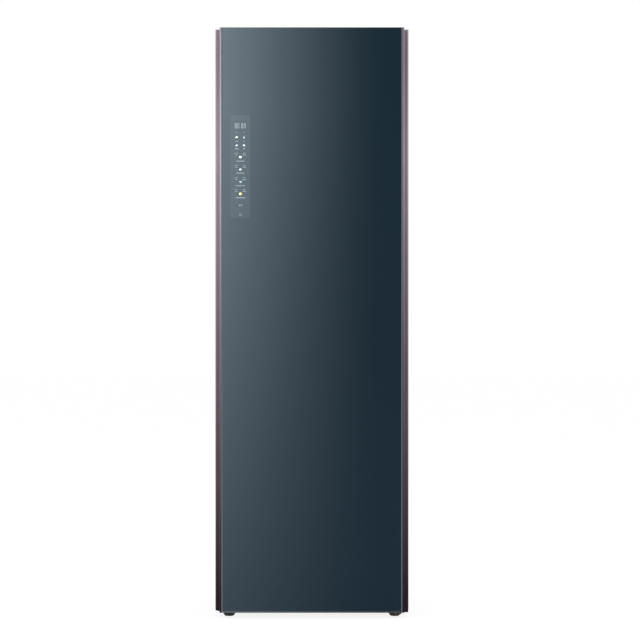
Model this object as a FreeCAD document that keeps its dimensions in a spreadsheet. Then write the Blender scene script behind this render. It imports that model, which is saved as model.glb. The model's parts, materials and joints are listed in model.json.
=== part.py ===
"""Clothes care steam cabinet: a free-standing steam closet with one tall glass door.

Lengths are millimetres. +X is the viewer's right, the door faces -Y, +Z is up, and the
origin is the middle of the underside. Each sub-part is one object whose Label names it.
"""
import FreeCAD, Part
import math
import os
import re
import Sketcher
from FreeCAD import Vector

doc = FreeCAD.newDocument("SteamCabinet")

# ---------------------------------------------------------------- driving dimensions
SIZES = (
    # whole cabinet
    ("wide", 600, "over the side trims"),
    ("deep", 600, "door front to back panel"),
    ("tall", 1825, "floor to the top of the door"),
    ("foot_lift", 20, "room under the casing"),
    ("sheet", 1, "casing steel"),
    ("play", 0.3, "gap between pieces that move apart"),
    ("fit", 0.05, "running clearance of a shaft, on the radius"),
    # door
    ("door_inset", 15, "door's side face inside the cabinet's"),
    ("door_thick", 44, "door without its gasket"),
    ("door_gap", 8, "gap behind the door, filled by the gasket"),
    ("glass_thick", 4, "front glass"),
    ("lip_side", 6, "width of the side trim's front lip"),
    ("lip_low", 5, "height of the bottom trim's front lip"),
    ("lip_top", 1, "height of the top trim's front lip"),
    ("trim_wall", 3, "wall of the door trims"),
    ("trim_round", 2.5, "rounded outer edge of the door trims"),
    ("skin", 3, "plastic inner skin of the door"),
    ("bulge", 12, "how far the inner skin stands into the chamber"),
    ("gasket_wide", 12, "width of the door gasket"),
    # hinge
    ("hinge_inset", 18, "hinge axis from the door's side face"),
    ("hinge_behind", 22, "hinge axis in front of the door's back face"),
    ("pin_r", 5, "hinge pin radius"),
    ("bush_wall", 4, "wall of the hinge bushes"),
    ("plate", 4, "hinge plate thickness"),
    ("hinge_drop", 19, "upper hinge plate below the door's top"),
    ("bush_long", 16, "length of the hinge bushes"),
    ("nose", 6.5, "half width of the upper hinge plate at its pin"),
    ("slot_play", 2, "room beside the hinge plate in the door's slot"),
    ("slot_gap", 1.8, "room over and under the hinge plate in the slot"),
    ("slot_reach", 13.8, "slot in front of the pin, for the plate when the door is open"),
    ("arm_long", 62, "reach of the upper hinge plate to the left of its pin"),
    ("screw_r", 3.2, "screw holes of the hinge plate"),
    # casing
    ("trim_wide", 35, "side trim width"),
    ("trim_deep", 40, "side trim depth"),
    ("corner", 4, "rounded corner of the side trims"),
    ("flute", 0.8, "depth and half width of a flute"),
    ("flute_pitch", 3.5, "spacing of the flutes"),
    ("flutes", 7, "flutes of a side trim"),
    ("band", 6, "dark base band under the trims"),
    ("tray_tall", 40, "height of the base tray"),
    ("tray_wall", 2, "wall of the base tray"),
    ("flange", 16, "turned-in flange of the side panels"),
    ("lid_rim", 14, "rim under the top panel"),
    ("collar_thick", 18, "thickness of the front collar"),
    # chamber
    ("room_inset", 50, "chamber wall inside the cabinet's side"),
    ("room_low", 430, "chamber floor above the room floor"),
    ("roof", 85, "cabinet above the chamber ceiling"),
    ("liner", 3, "liner wall"),
    ("rear_wall", 35, "insulated wall behind the air duct"),
    ("duct_deep", 56, "depth of the air duct behind the chamber"),
    ("ledge", 6, "shelf ledge on the side walls"),
    ("ledge_tall", 14, "height of a shelf ledge"),
    ("shelf_level", 520, "height of the wire shelf"),
    ("shelf_wires", 15, "wires of the shelf"),
    ("wire_r", 2, "shelf wire radius"),
    ("lamp_half", 120, "half width of the chamber lamp"),
    ("air_slot_x", 130, "middle of an air slot from the cabinet's middle"),
    ("air_slot_half", 55, "half width of an air slot"),
    ("air_slot_tall", 6, "height of an air slot"),
    ("air_slot_pitch", 90, "spacing of the air slots"),
    ("air_slot_rise", 150, "lowest air slot above the chamber floor"),
    # hanger rail
    ("rail_drop", 50, "rail axis below the chamber ceiling"),
    ("rail_r", 6, "hanger rail radius"),
    ("rail_inset", 50, "end of the hanger rail from the chamber wall"),
    ("rail_y", -15, "depth position of the hanger rail"),
    ("post_inset", 50, "rail posts from the end of the rail"),
    ("stroke", 20, "shake of the rail to each side"),
    ("guide_r", 4, "guide rod radius"),
    ("guide_apart", 60, "spacing of the two guide rods"),
    ("guide_level", 18, "guide rods above the ceiling liner"),
    ("hanger_pitch", 120, "spacing of the hangers"),
    ("hanger_wide", 400, "hanger width"),
    ("hanger_thick", 8, "hanger thickness"),
    ("hook_thick", 6, "thickness and wall of the hanger hook"),
    ("shoe", 16, "half length of a rail shoe on the guide rods"),
    # water
    ("bay_deep", 200, "depth of the tank bay"),
    ("bay_wall", 4, "wall of the tank bay"),
    ("bay_floor", 66, "underside of the bay floor"),
    ("bay_top", 405, "top edge of the tank bay"),
    ("tank_tall", 310, "water tank height without its lid"),
    ("tank_wall", 3, "water tank wall"),
    ("slack", 2, "room round a water tank"),
    ("hose_r", 5, "hose radius"),
    # air circuit
    ("channel_half", 132, "half width of the air channel"),
    ("channel_low", 196, "underside of the air channel"),
    ("coil_half", 112, "half width of the heat exchangers"),
    ("coil_deep", 45, "depth of a heat exchanger"),
    ("fan_level", 300, "height of the fan axis"),
    ("fan_r", 66, "fan wheel radius"),
    ("fan_deep", 44, "width of the fan wheel"),
    ("blades", 24, "blades of the fan wheel"),
    ("shaft_r", 4, "fan shaft radius"),
    # filter and steam
    ("filter_half", 108, "half width of the lint filter"),
    ("filter_deep", 68, "depth of the lint filter"),
    ("steam_inset", 110, "steam nozzle from the right side"),
    ("steam_y", 60, "steam nozzle behind the middle"),
    # compressor and its fan
    ("pump_r", 54, "compressor shell radius"),
    ("pump_inset", 110, "compressor from the left side"),
    ("pump_y", 100, "compressor behind the middle"),
    ("shell_tall", 190, "compressor shell height"),
    ("pump_post", 48, "compressor posts from its middle"),
    ("vent_r", 55, "cooling fan rotor radius"),
    ("vent_level", 160, "height of the cooling fan"),
    ("vent_blades", 7, "blades of the cooling fan"),
    # feet
    ("foot_r", 19, "levelling foot radius"),
    ("foot_inset", 42, "feet from the cabinet's side"),
    ("foot_front", 85, "front feet behind the door's front"),
    ("foot_back", 45, "rear feet before the back panel"),
    ("stem_r", 5, "foot stem radius"),
    # small things
    ("display_inset", 29, "display module from the door's left side"),
    ("display_wide", 72, "display module width"),
    ("display_drop", 597, "lower edge of the display module below the top"),
    ("display_tall", 336, "display module height"),
    ("crank_x", 60, "rail crank to the right of the middle"),
    ("water_x", 60, "water pump to the right of the middle"),
    ("gland_inset", 100, "cord gland from the right side"),
    ("gland_level", 90, "height of the cord gland"),
    ("gland_r", 11, "hole for the cord gland"),
    ("fields", 3, "fields pressed into the back panel"),
    ("field_gap", 30, "flat strip between the fields"),
    ("press", 3, "depth of a pressed field"),
    ("louvres", 12, "number of louvres in the back"),
    ("louvre_pitch", 16, "spacing of the louvres"),
    ("louvre_low", 110, "lowest louvre above the room floor"),
    ("louvre_tall", 4, "height of a louvre"),
    ("louvre_long", 110, "length of a louvre"),
    ("fin_pitch", 12, "spacing of the heat exchanger fins"),
    ("pipe_r", 4, "refrigerant pipe radius"),
    ("grip_half", 62, "half width of a tank's grip"),
    ("cap_r", 24, "tank filler cap radius"),
)

# ---------------------------------------------------------------- places that follow
PLACES = (
    ("front", "-deep / 2"),
    ("back", "deep / 2"),
    ("half", "wide / 2"),
    ("door_half", "half - door_inset"),
    ("door_back", "front + door_thick"),
    ("body_front", "door_back + door_gap"),
    ("door_in", "door_half - trim_wall"),
    ("glass_back", "front + glass_thick"),
    ("skin_front", "door_back - skin"),
    ("hinge_x", "door_half - hinge_inset"),
    ("hinge_y", "door_back - hinge_behind"),
    ("hinge_top", "tall - hinge_drop"),
    ("slot_low", "hinge_top - slot_gap"),
    ("slot_high", "hinge_top + plate + slot_gap"),
    ("base_top", "foot_lift + band"),
    ("trim_back", "body_front + trim_deep"),
    ("collar_half", "half - trim_wide"),
    ("collar_back", "body_front + collar_thick"),
    ("lid_low", "tall - sheet"),
    ("room_half", "half - room_inset"),
    ("room_high", "tall - roof"),
    ("liner_half", "room_half + liner"),
    ("liner_back", "back - rear_wall"),
    ("duct_back", "liner_back - liner"),
    ("duct_front", "duct_back - duct_deep"),
    ("floor_low", "room_low - liner"),
    ("ceiling_top", "room_high + liner"),
    ("rail_level", "room_high - rail_drop"),
    ("rail_half", "room_half - rail_inset"),
    ("post_x", "rail_half - post_inset"),
    ("guide_z", "ceiling_top + guide_level"),
    ("yoke_top", "guide_z + 15"),
    ("crank_low", "yoke_top + 4"),
    ("crank_top", "crank_low + 5"),
    ("bay_front", "collar_back + 1"),
    ("bay_back", "bay_front + bay_deep"),
    ("bay_half", "room_half - 12"),
    ("tank_low", "bay_floor + bay_wall"),
    ("tank_top", "tank_low + tank_tall"),
    ("channel_front", "bay_back + 4"),
    ("channel_back", "duct_front - 1"),
    ("coil_a", "channel_front + 92"),
    ("coil_b", "coil_a + coil_deep + 8"),
    ("coil_low", "channel_low + 8"),
    ("coil_high", "floor_low - 6"),
    ("scroll_right", "fan_r + 44"),
    ("scroll_tongue", "scroll_right - 66"),
    ("scroll_front", "duct_front + 1"),
    ("scroll_back", "duct_back - 0.5"),
    ("wheel_front", "scroll_front + 6"),
    ("wheel_back", "wheel_front + fan_deep"),
    ("filter_y", "channel_front + 46"),
    ("shell_low", "foot_lift + 26"),
    ("shell_top", "shell_low + shell_tall + 4"),
    ("pipe_level", "coil_high - 40"),
    ("vent_front", "back - 30"),
    ("field_pitch", "(room_high - room_low) / fields"),
    ("vent_middle", "vent_front + 14.5"),
    ("foot_x", "half - foot_inset"),
    ("foot_y", "front + foot_front"),
    ("display_left", "display_inset - door_half"),
    ("display_low", "tall - display_drop"),
    ("steam_x", "half - steam_inset"),
    ("pump_x", "pump_inset - half"),
    ("gland_x", "half - gland_inset"),
)


def make_sheet(name, rows):
    """A spreadsheet with a name, a value and an alias on each row."""
    sheet = doc.addObject("Spreadsheet::Sheet", name)
    for number, row in enumerate(rows, 1):
        sheet.set(f"A{number}", row[0])
        value = row[1]
        sheet.set(f"B{number}", "=" + bound(value) if isinstance(value, str) else str(value))
        sheet.setAlias(f"B{number}", row[0])
        if len(row) > 2:
            sheet.set(f"C{number}", row[2])
    return sheet


HOME = {row[0]: "sizes." + row[0] for row in SIZES}
HOME.update({row[0]: "places." + row[0] for row in PLACES})


def bound(text):
    """The formula with every named value given the sheet that holds it."""
    return re.sub(r"[a-z_]+", lambda word: HOME.get(word.group(0), word.group(0)), str(text))


sizes = make_sheet("sizes", SIZES)
places = make_sheet("places", PLACES)
doc.recompute()


def value(text):
    """The number that a formula of named values gives."""
    return float(sizes.evalExpression(bound(text)))


# ---------------------------------------------------------------- building helpers
nodes = {}
cuts = []


def keep(label, thing):
    """Name an object as a sub-part."""
    thing.Label = label
    nodes[label] = thing
    return thing


class Piece:
    """A PartDesign body whose sketches and features are bound to the sheets."""

    def __init__(self, label):
        self.body = keep(label, doc.addObject("PartDesign::Body", label))

    def plane(self, role):
        """The body's own origin plane."""
        return next(o for o in self.body.Origin.OriginFeatures if o.Role == role + "_Plane")

    def sketch(self, role, level, loops, origin=(0, 0)):
        """A sketch at a level of an origin plane, with its own origin moved on that plane."""
        sketch = self.body.newObject("Sketcher::SketchObject", "Sketch")
        sketch.AttachmentSupport = [(self.plane(role), "")]
        sketch.MapMode = "FlatFace"
        sign = "-" if role == "XZ" else ""
        sketch.setExpression(".AttachmentOffset.Base.x", bound(origin[0]))
        sketch.setExpression(".AttachmentOffset.Base.y", bound(origin[1]))
        sketch.setExpression(".AttachmentOffset.Base.z", bound(f"{sign}({level})"))
        for loop in loops:
            if loop[0] == "ring":
                draw_circle(sketch, *loop[1:])
            else:
                draw_outline(sketch, loop)
        return sketch

    def feature(self, kind, sketch, length):
        """A pad or pocket of a sketch."""
        made = self.body.newObject("PartDesign::" + kind, kind)
        made.Profile = sketch
        made.setExpression("Length", bound(length))
        return made

    def pad(self, role, low, high, *loops, origin=(0, 0)):
        """Material between two levels of a plane."""
        level = high if role == "XZ" else low
        sketch = self.sketch(role, level, loops, origin)
        self.feature("Pad", sketch, f"({high}) - ({low})")
        return self

    def pocket(self, role, low, high, *loops, origin=(0, 0)):
        """Material taken away between two levels of a plane."""
        level = low if role == "XZ" else high
        sketch = self.sketch(role, level, loops, origin)
        made = self.feature("Pocket", sketch, f"({high}) - ({low})")
        cuts.append(made)
        return self

    def revolve(self, role, level, loop, origin, axis="V_Axis", kind="Revolution"):
        """A full turn of an outline about its sketch's own axis."""
        sketch = self.sketch(role, level, [loop], origin)
        made = self.body.newObject("PartDesign::" + kind, kind)
        made.Profile = sketch
        made.ReferenceAxis = (sketch, [axis])
        made.Angle = 360
        if kind == "Groove":
            cuts.append(made)
        return self

    def last(self):
        """The newest feature that is not a sketch."""
        return [o for o in self.body.Group if not o.isDerivedFrom("Sketcher::SketchObject")][-1]

    def repeat(self, axis, length, count):
        """Copies of the last feature along an axis of its sketch."""
        base = self.last()
        row = self.body.newObject("PartDesign::LinearPattern", "Row")
        row.Originals = [base]
        row.Direction = (base.Profile[0], [axis])
        row.setExpression("Length", bound(length))
        row.setExpression("Occurrences", bound(count))
        self.body.Tip = row
        return self

    def ring_of(self, count, axis="N_Axis", base=None, sketch=None):
        """Copies of a feature round its sketch's axis."""
        base = base or self.last()
        turn = self.body.newObject("PartDesign::PolarPattern", "Turn")
        turn.Originals = [base]
        turn.Axis = (sketch or base.Profile[0], [axis])
        turn.Angle = 360
        turn.setExpression("Occurrences", bound(count))
        self.body.Tip = turn
        return self


def draw_circle(sketch, across, up, radius):
    """A circle held by its centre and radius."""
    middle = Vector(value(across), value(up), 0)
    place = sketch.addGeometry(Part.Circle(middle, Vector(0, 0, 1), value(radius)), False)
    pin(sketch, "DistanceX", (-1, 1, place, 3), middle.x, across)
    pin(sketch, "DistanceY", (-1, 1, place, 3), middle.y, up)
    pin(sketch, "Radius", (place,), value(radius), radius)


def pin(sketch, kind, ends, number, text):
    """A driving dimension bound to a formula."""
    place = sketch.addConstraint(Sketcher.Constraint(kind, *ends, number))
    sketch.setExpression(f"Constraints[{place}]", bound(text))


def draw_outline(sketch, corners):
    """A closed outline of straight sides; a corner's third value is its rounding radius."""
    corners = [corner if len(corner) == 3 else (*corner, None) for corner in corners]
    spots = [Vector(value(across), value(up), 0) for across, up, _ in corners]
    count = len(corners)
    starts, ends, arcs = {}, {}, {}
    for i, (_, _, radius) in enumerate(corners):
        corner = spots[i]
        starts[i] = ends[i] = corner
        if radius is None:
            continue
        to_last = (spots[i - 1] - corner).normalize()
        to_next = (spots[(i + 1) % count] - corner).normalize()
        half_angle = to_last.getAngle(to_next) / 2
        reach = value(radius) / math.tan(half_angle)
        ends[i] = corner + to_last * reach
        starts[i] = corner + to_next * reach
        middle = corner + (to_last + to_next).normalize() * (value(radius) / math.sin(half_angle))
        spokes = [ends[i] - middle, starts[i] - middle]
        turns_left = spokes[0].cross(spokes[1]).z > 0
        if not turns_left:
            spokes.reverse()
        angles = [math.atan2(spoke.y, spoke.x) for spoke in spokes]
        circle = Part.Circle(middle, Vector(0, 0, 1), value(radius))
        arcs[i] = (Part.ArcOfCircle(circle, *angles), turns_left)
    lines = []
    for i in range(count):
        line = Part.LineSegment(starts[i], ends[(i + 1) % count])
        lines.append(sketch.addGeometry(line, False))
    for i, (across, up, radius) in enumerate(corners):
        line, last = lines[i], lines[i - 1]
        if radius is None:
            sketch.addConstraint(Sketcher.Constraint("Coincident", last, 2, line, 1))
            pin(sketch, "DistanceX", (-1, 1, line, 1), spots[i].x, across)
            pin(sketch, "DistanceY", (-1, 1, line, 1), spots[i].y, up)
            continue
        shape, turns_left = arcs[i]
        arc = sketch.addGeometry(shape, False)
        first, second = (1, 2) if turns_left else (2, 1)
        sketch.addConstraint(Sketcher.Constraint("Tangent", last, 2, arc, first))
        sketch.addConstraint(Sketcher.Constraint("Tangent", arc, second, line, 1))
        pin(sketch, "Radius", (arc,), value(radius), radius)
        point = sketch.addGeometry(Part.Point(spots[i]), True)
        sketch.addConstraint(Sketcher.Constraint("PointOnObject", point, 1, last))
        sketch.addConstraint(Sketcher.Constraint("PointOnObject", point, 1, line))
        pin(sketch, "DistanceX", (-1, 1, point, 1), spots[i].x, across)
        pin(sketch, "DistanceY", (-1, 1, point, 1), spots[i].y, up)


def oblong(left, right, low, high, radius=None):
    """A rectangle, with rounded corners if a radius is given."""
    tail = () if radius is None else (radius,)
    return [(left, low, *tail), (right, low, *tail), (right, high, *tail), (left, high, *tail)]


def octagon(across, up, radius):
    """A thin wire's outline."""
    return [(f"{across} + {radius} * cos({45 * k})", f"{up} + {radius} * sin({45 * k})")
            for k in range(8)]


def ring(across, up, radius):
    """A circle for a sketch."""
    return ("ring", across, up, radius)


def block(x_pair, y_pair, z_pair):
    """A plain box between pairs of formulas."""
    box = doc.addObject("Part::Box", "Block")
    for side, axis, (low, high) in zip(("Length", "Width", "Height"), "xyz",
                                       (x_pair, y_pair, z_pair)):
        box.setExpression(side, bound(f"({high}) - ({low})"))
        box.setExpression("Placement.Base." + axis, bound(low))
    return box


def rod(radius, length, x, y, low, along="Z"):
    """A plain cylinder from a point along +X, +Y or +Z."""
    made = doc.addObject("Part::Cylinder", "Rod")
    made.setExpression("Radius", bound(radius))
    made.setExpression("Height", bound(length))
    turn = {"X": (Vector(0, 1, 0), 90), "Y": (Vector(1, 0, 0), -90), "Z": (Vector(0, 0, 1), 0)}
    made.Placement.Rotation = FreeCAD.Rotation(*turn[along])
    for axis, text in zip("xyz", (x, y, low)):
        made.setExpression("Placement.Base." + axis, bound(text))
    return made


def less(base, *tools):
    """A solid with other solids cut from it."""
    for tool in tools:
        made = doc.addObject("Part::Cut", "Less")
        made.Base = base
        made.Tool = tool
        base = made
    return base


def group(label, *members):
    """Separate solids that share one sub-part."""
    made = doc.addObject("Part::Compound", label)
    made.Links = list(members)
    return keep(label, made)


def tube_wire(points, bend):
    """Straight runs joined by tangent arcs of at most the given radius."""
    points = [Vector(*(value(part) for part in point)) for point in points]
    edges = []
    start = points[0]
    for i in range(1, len(points) - 1):
        corner = points[i]
        to_last = (points[i - 1] - corner)
        to_next = (points[i + 1] - corner)
        run = min(to_last.Length, to_next.Length)
        to_last.normalize()
        to_next.normalize()
        half_angle = to_last.getAngle(to_next) / 2
        reach = min(bend / math.tan(half_angle), 0.45 * run)
        radius = reach * math.tan(half_angle)
        a, b = corner + to_last * reach, corner + to_next * reach
        middle = corner + (to_last + to_next).normalize() * (radius / math.sin(half_angle))
        inner = middle + (corner - middle).normalize() * radius
        edges.append(Part.LineSegment(start, a).toShape())
        edges.append(Part.Arc(a, inner, b).toShape())
        start = b
    edges.append(Part.LineSegment(start, points[-1]).toShape())
    return Part.Wire(edges)


def tube(radius, points, bend=40):
    """A hose or pipe along a route, eight-sided so that it meshes lightly."""
    wire = tube_wire(points, bend)
    start = wire.Edges[0]
    circle = Part.Circle(start.valueAt(start.FirstParameter),
                         start.tangentAt(start.FirstParameter), value(radius))
    corners = [circle.value(math.radians(45 * k)) for k in range(8)]
    shape = wire.makePipe(Part.Face(Part.makePolygon([*corners, corners[0]])))
    expected = 2 * math.sqrt(2) * value(radius) ** 2 * wire.Length
    if abs(shape.Volume - expected) > 0.02 * expected:
        raise RuntimeError("a hose does not fill its route")
    made = doc.addObject("Part::Feature", "Tube")
    made.Shape = shape
    return made


def mirrored(side, left, right):
    """The X pair of a piece on the left (-1) or right (1), in rising order."""
    low, high = f"{side} * ({left})", f"{side} * ({right})"
    return (low, high) if side > 0 else (high, low)


# ---------------------------------------------------------------- door
def door():
    """Glass front in aluminium trims, foam core, inner skin, gasket and hinge bushes."""
    Piece("door_glass").pad("XZ", "front", "glass_back", oblong(
        "lip_side - door_half", "door_half - lip_side",
        "foot_lift + lip_low", "tall - lip_top"))

    for side, name in ((-1, "left"), (1, "right")):
        trim = Piece("door_trim_" + name)
        outer, inner, lip = (f"{side} * door_half", f"{side} * door_in",
                             f"{side} * (door_half - lip_side)")
        trim.pad("XY", "foot_lift", "tall", [
            (outer, "door_back"), (outer, "front", "trim_round"), (lip, "front"),
            (lip, "glass_back"), (inner, "glass_back"), (inner, "door_back")])
        if side > 0:
            trim.pocket("XZ", "hinge_y - slot_reach", "door_back",
                        oblong("door_in - 1", "door_half + 1", "slot_low", "slot_high"))

    top = Piece("door_trim_top")
    top.pad("YZ", "-door_in", "door_in", [
        ("door_back", "tall"), ("glass_back", "tall"), ("glass_back", "tall - trim_wall"),
        ("door_back", "tall - trim_wall")])
    top.pad("YZ", "lip_side - door_half", "door_half - lip_side",
            oblong("front", "glass_back", "tall - lip_top", "tall"))
    low = Piece("door_trim_bottom")
    low.pad("YZ", "-door_in", "door_in",
            oblong("glass_back", "door_back", "foot_lift", "foot_lift + trim_wall"))
    low.pad("YZ", "lip_side - door_half", "door_half - lip_side",
            oblong("front", "glass_back", "foot_lift", "foot_lift + lip_low"))
    low.pocket("XY", "foot_lift", "foot_lift + trim_wall",
               ring("hinge_x", "hinge_y", "pin_r + bush_wall"))

    core = Piece("door_core")
    core.pad("XZ", "glass_back", "skin_front",
             oblong("-door_in", "door_in", "foot_lift + trim_wall", "tall - trim_wall"))
    core.pocket("XZ", "glass_back", "glass_back + 15", oblong(
        "display_left", "display_left + display_wide", "display_low", "display_low + display_tall"))
    core.pocket("XZ", "hinge_y - slot_reach", "skin_front",
                oblong("hinge_x - nose - slot_play", "door_in", "slot_low", "slot_high"))
    core.pocket("XY", "slot_low - bush_long", "slot_low",
                ring("hinge_x", "hinge_y", "pin_r + bush_wall"))
    core.pocket("XY", "foot_lift + trim_wall", "foot_lift + bush_long",
                ring("hinge_x", "hinge_y", "pin_r + bush_wall"))

    skin = Piece("door_liner")
    skin.pad("XZ", "skin_front", "door_back",
             oblong("-door_in", "door_in", "foot_lift + trim_wall", "tall - trim_wall"))
    skin.pad("XZ", "door_back", "door_back + bulge", oblong(
        "12 - room_half", "room_half - 12", "room_low + 12", "room_high - 12", 24))
    skin.pocket("XZ", "door_back + bulge - 4", "door_back + bulge", oblong(
        "48 - room_half", "room_half - 48", "room_low + 48", "room_high - 48", 14))
    skin.body.Tip.Reversed = True
    skin.pocket("XZ", "skin_front", "door_back",
                oblong("hinge_x - nose - slot_play", "door_in", "slot_low", "slot_high"))

    edge = "collar_half - 1"
    inner = "collar_half - 1 - gasket_wide"
    Piece("door_gasket").pad(
        "XZ", "door_back", "body_front - play",
        oblong(f"-({edge})", edge, "base_top + 4", "hinge_top - 6", 14),
        oblong(f"-({inner})", inner, "base_top + 4 + gasket_wide",
               "hinge_top - 6 - gasket_wide", 6))

    module = Piece("display_module")
    module.pad("XZ", "glass_back", "glass_back + 3", oblong(
        "display_left + 1", "display_left + display_wide - 1",
        "display_low + 1", "display_low + display_tall - 1", 3))
    module.pad("XZ", "glass_back + 3", "glass_back + 12", oblong(
        "display_left + 8", "display_left + display_wide - 8",
        "display_low + 12", "display_low + display_tall - 12", 4))
    module.pad("XZ", "glass_back + 12", "glass_back + 15", oblong(
        "display_left + 20", "display_left + display_wide - 20",
        "display_low + 40", "display_low + display_tall - 40", 2))

    bushes = []
    for low_end in ("slot_low - bush_long", "foot_lift"):
        outer = rod("pin_r + bush_wall", "bush_long", "hinge_x", "hinge_y", low_end)
        bore = rod("pin_r + fit", "bush_long", "hinge_x", "hinge_y", low_end)
        bushes.append(less(outer, bore))
    group("hinge_bushes", *bushes)


# ---------------------------------------------------------------- hinges
def hinges():
    """Two steel hinges on the right: plates on the cabinet, pins up or down into the door."""
    side_reach = "collar_half - 0.3"
    upper = Piece("hinge_upper")
    upper.pad("XY", "hinge_top", "hinge_top + plate", [
        ("hinge_x - nose", "hinge_y - nose", 6), ("hinge_x + nose", "hinge_y - nose", 6),
        ("hinge_x + nose", "body_front - play"), (side_reach, "body_front - play"),
        (side_reach, "trim_back"), ("hinge_x - arm_long", "trim_back"),
        ("hinge_x - arm_long", "body_front + 6"), ("hinge_x - nose", "body_front + 6")])
    upper.pad("XY", "hinge_top - bush_long + 2", "hinge_top",
              ring("hinge_x", "hinge_y", "pin_r"))
    upper.pocket("XY", "hinge_top", "hinge_top + plate",
                 ring("hinge_x - 50", "body_front + 22", "screw_r"),
                 ring("hinge_x - 22", "body_front + 22", "screw_r"))

    lower = Piece("hinge_lower")
    lower.pad("XY", "foot_lift - 2 - plate", "foot_lift - 2", [
        ("hinge_x - 10", "hinge_y - 9", 8), ("hinge_x + 10", "hinge_y - 9", 8),
        ("hinge_x + 10", "body_front + 10"), ("foot_x - foot_r - 5", "body_front + 10", 3),
        ("foot_x - foot_r - 5", "trim_back + 16"), ("foot_x - foot_r - 35", "trim_back + 16"),
        ("foot_x - foot_r - 35", "body_front - 3", 6), ("hinge_x - 10", "body_front - 3", 6)])
    lower.pad("XY", "foot_lift - 2", "foot_lift", [
        ("foot_x - foot_r - 35", "body_front + 2"), ("hinge_x + 10", "body_front + 2"),
        ("hinge_x + 10", "body_front + 10"), ("foot_x - foot_r - 5", "body_front + 10"),
        ("foot_x - foot_r - 5", "trim_back + 16"), ("foot_x - foot_r - 35", "trim_back + 16")])
    lower.pad("XY", "foot_lift - 2", "foot_lift + bush_long - 3",
              ring("hinge_x", "hinge_y", "pin_r"))


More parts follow.
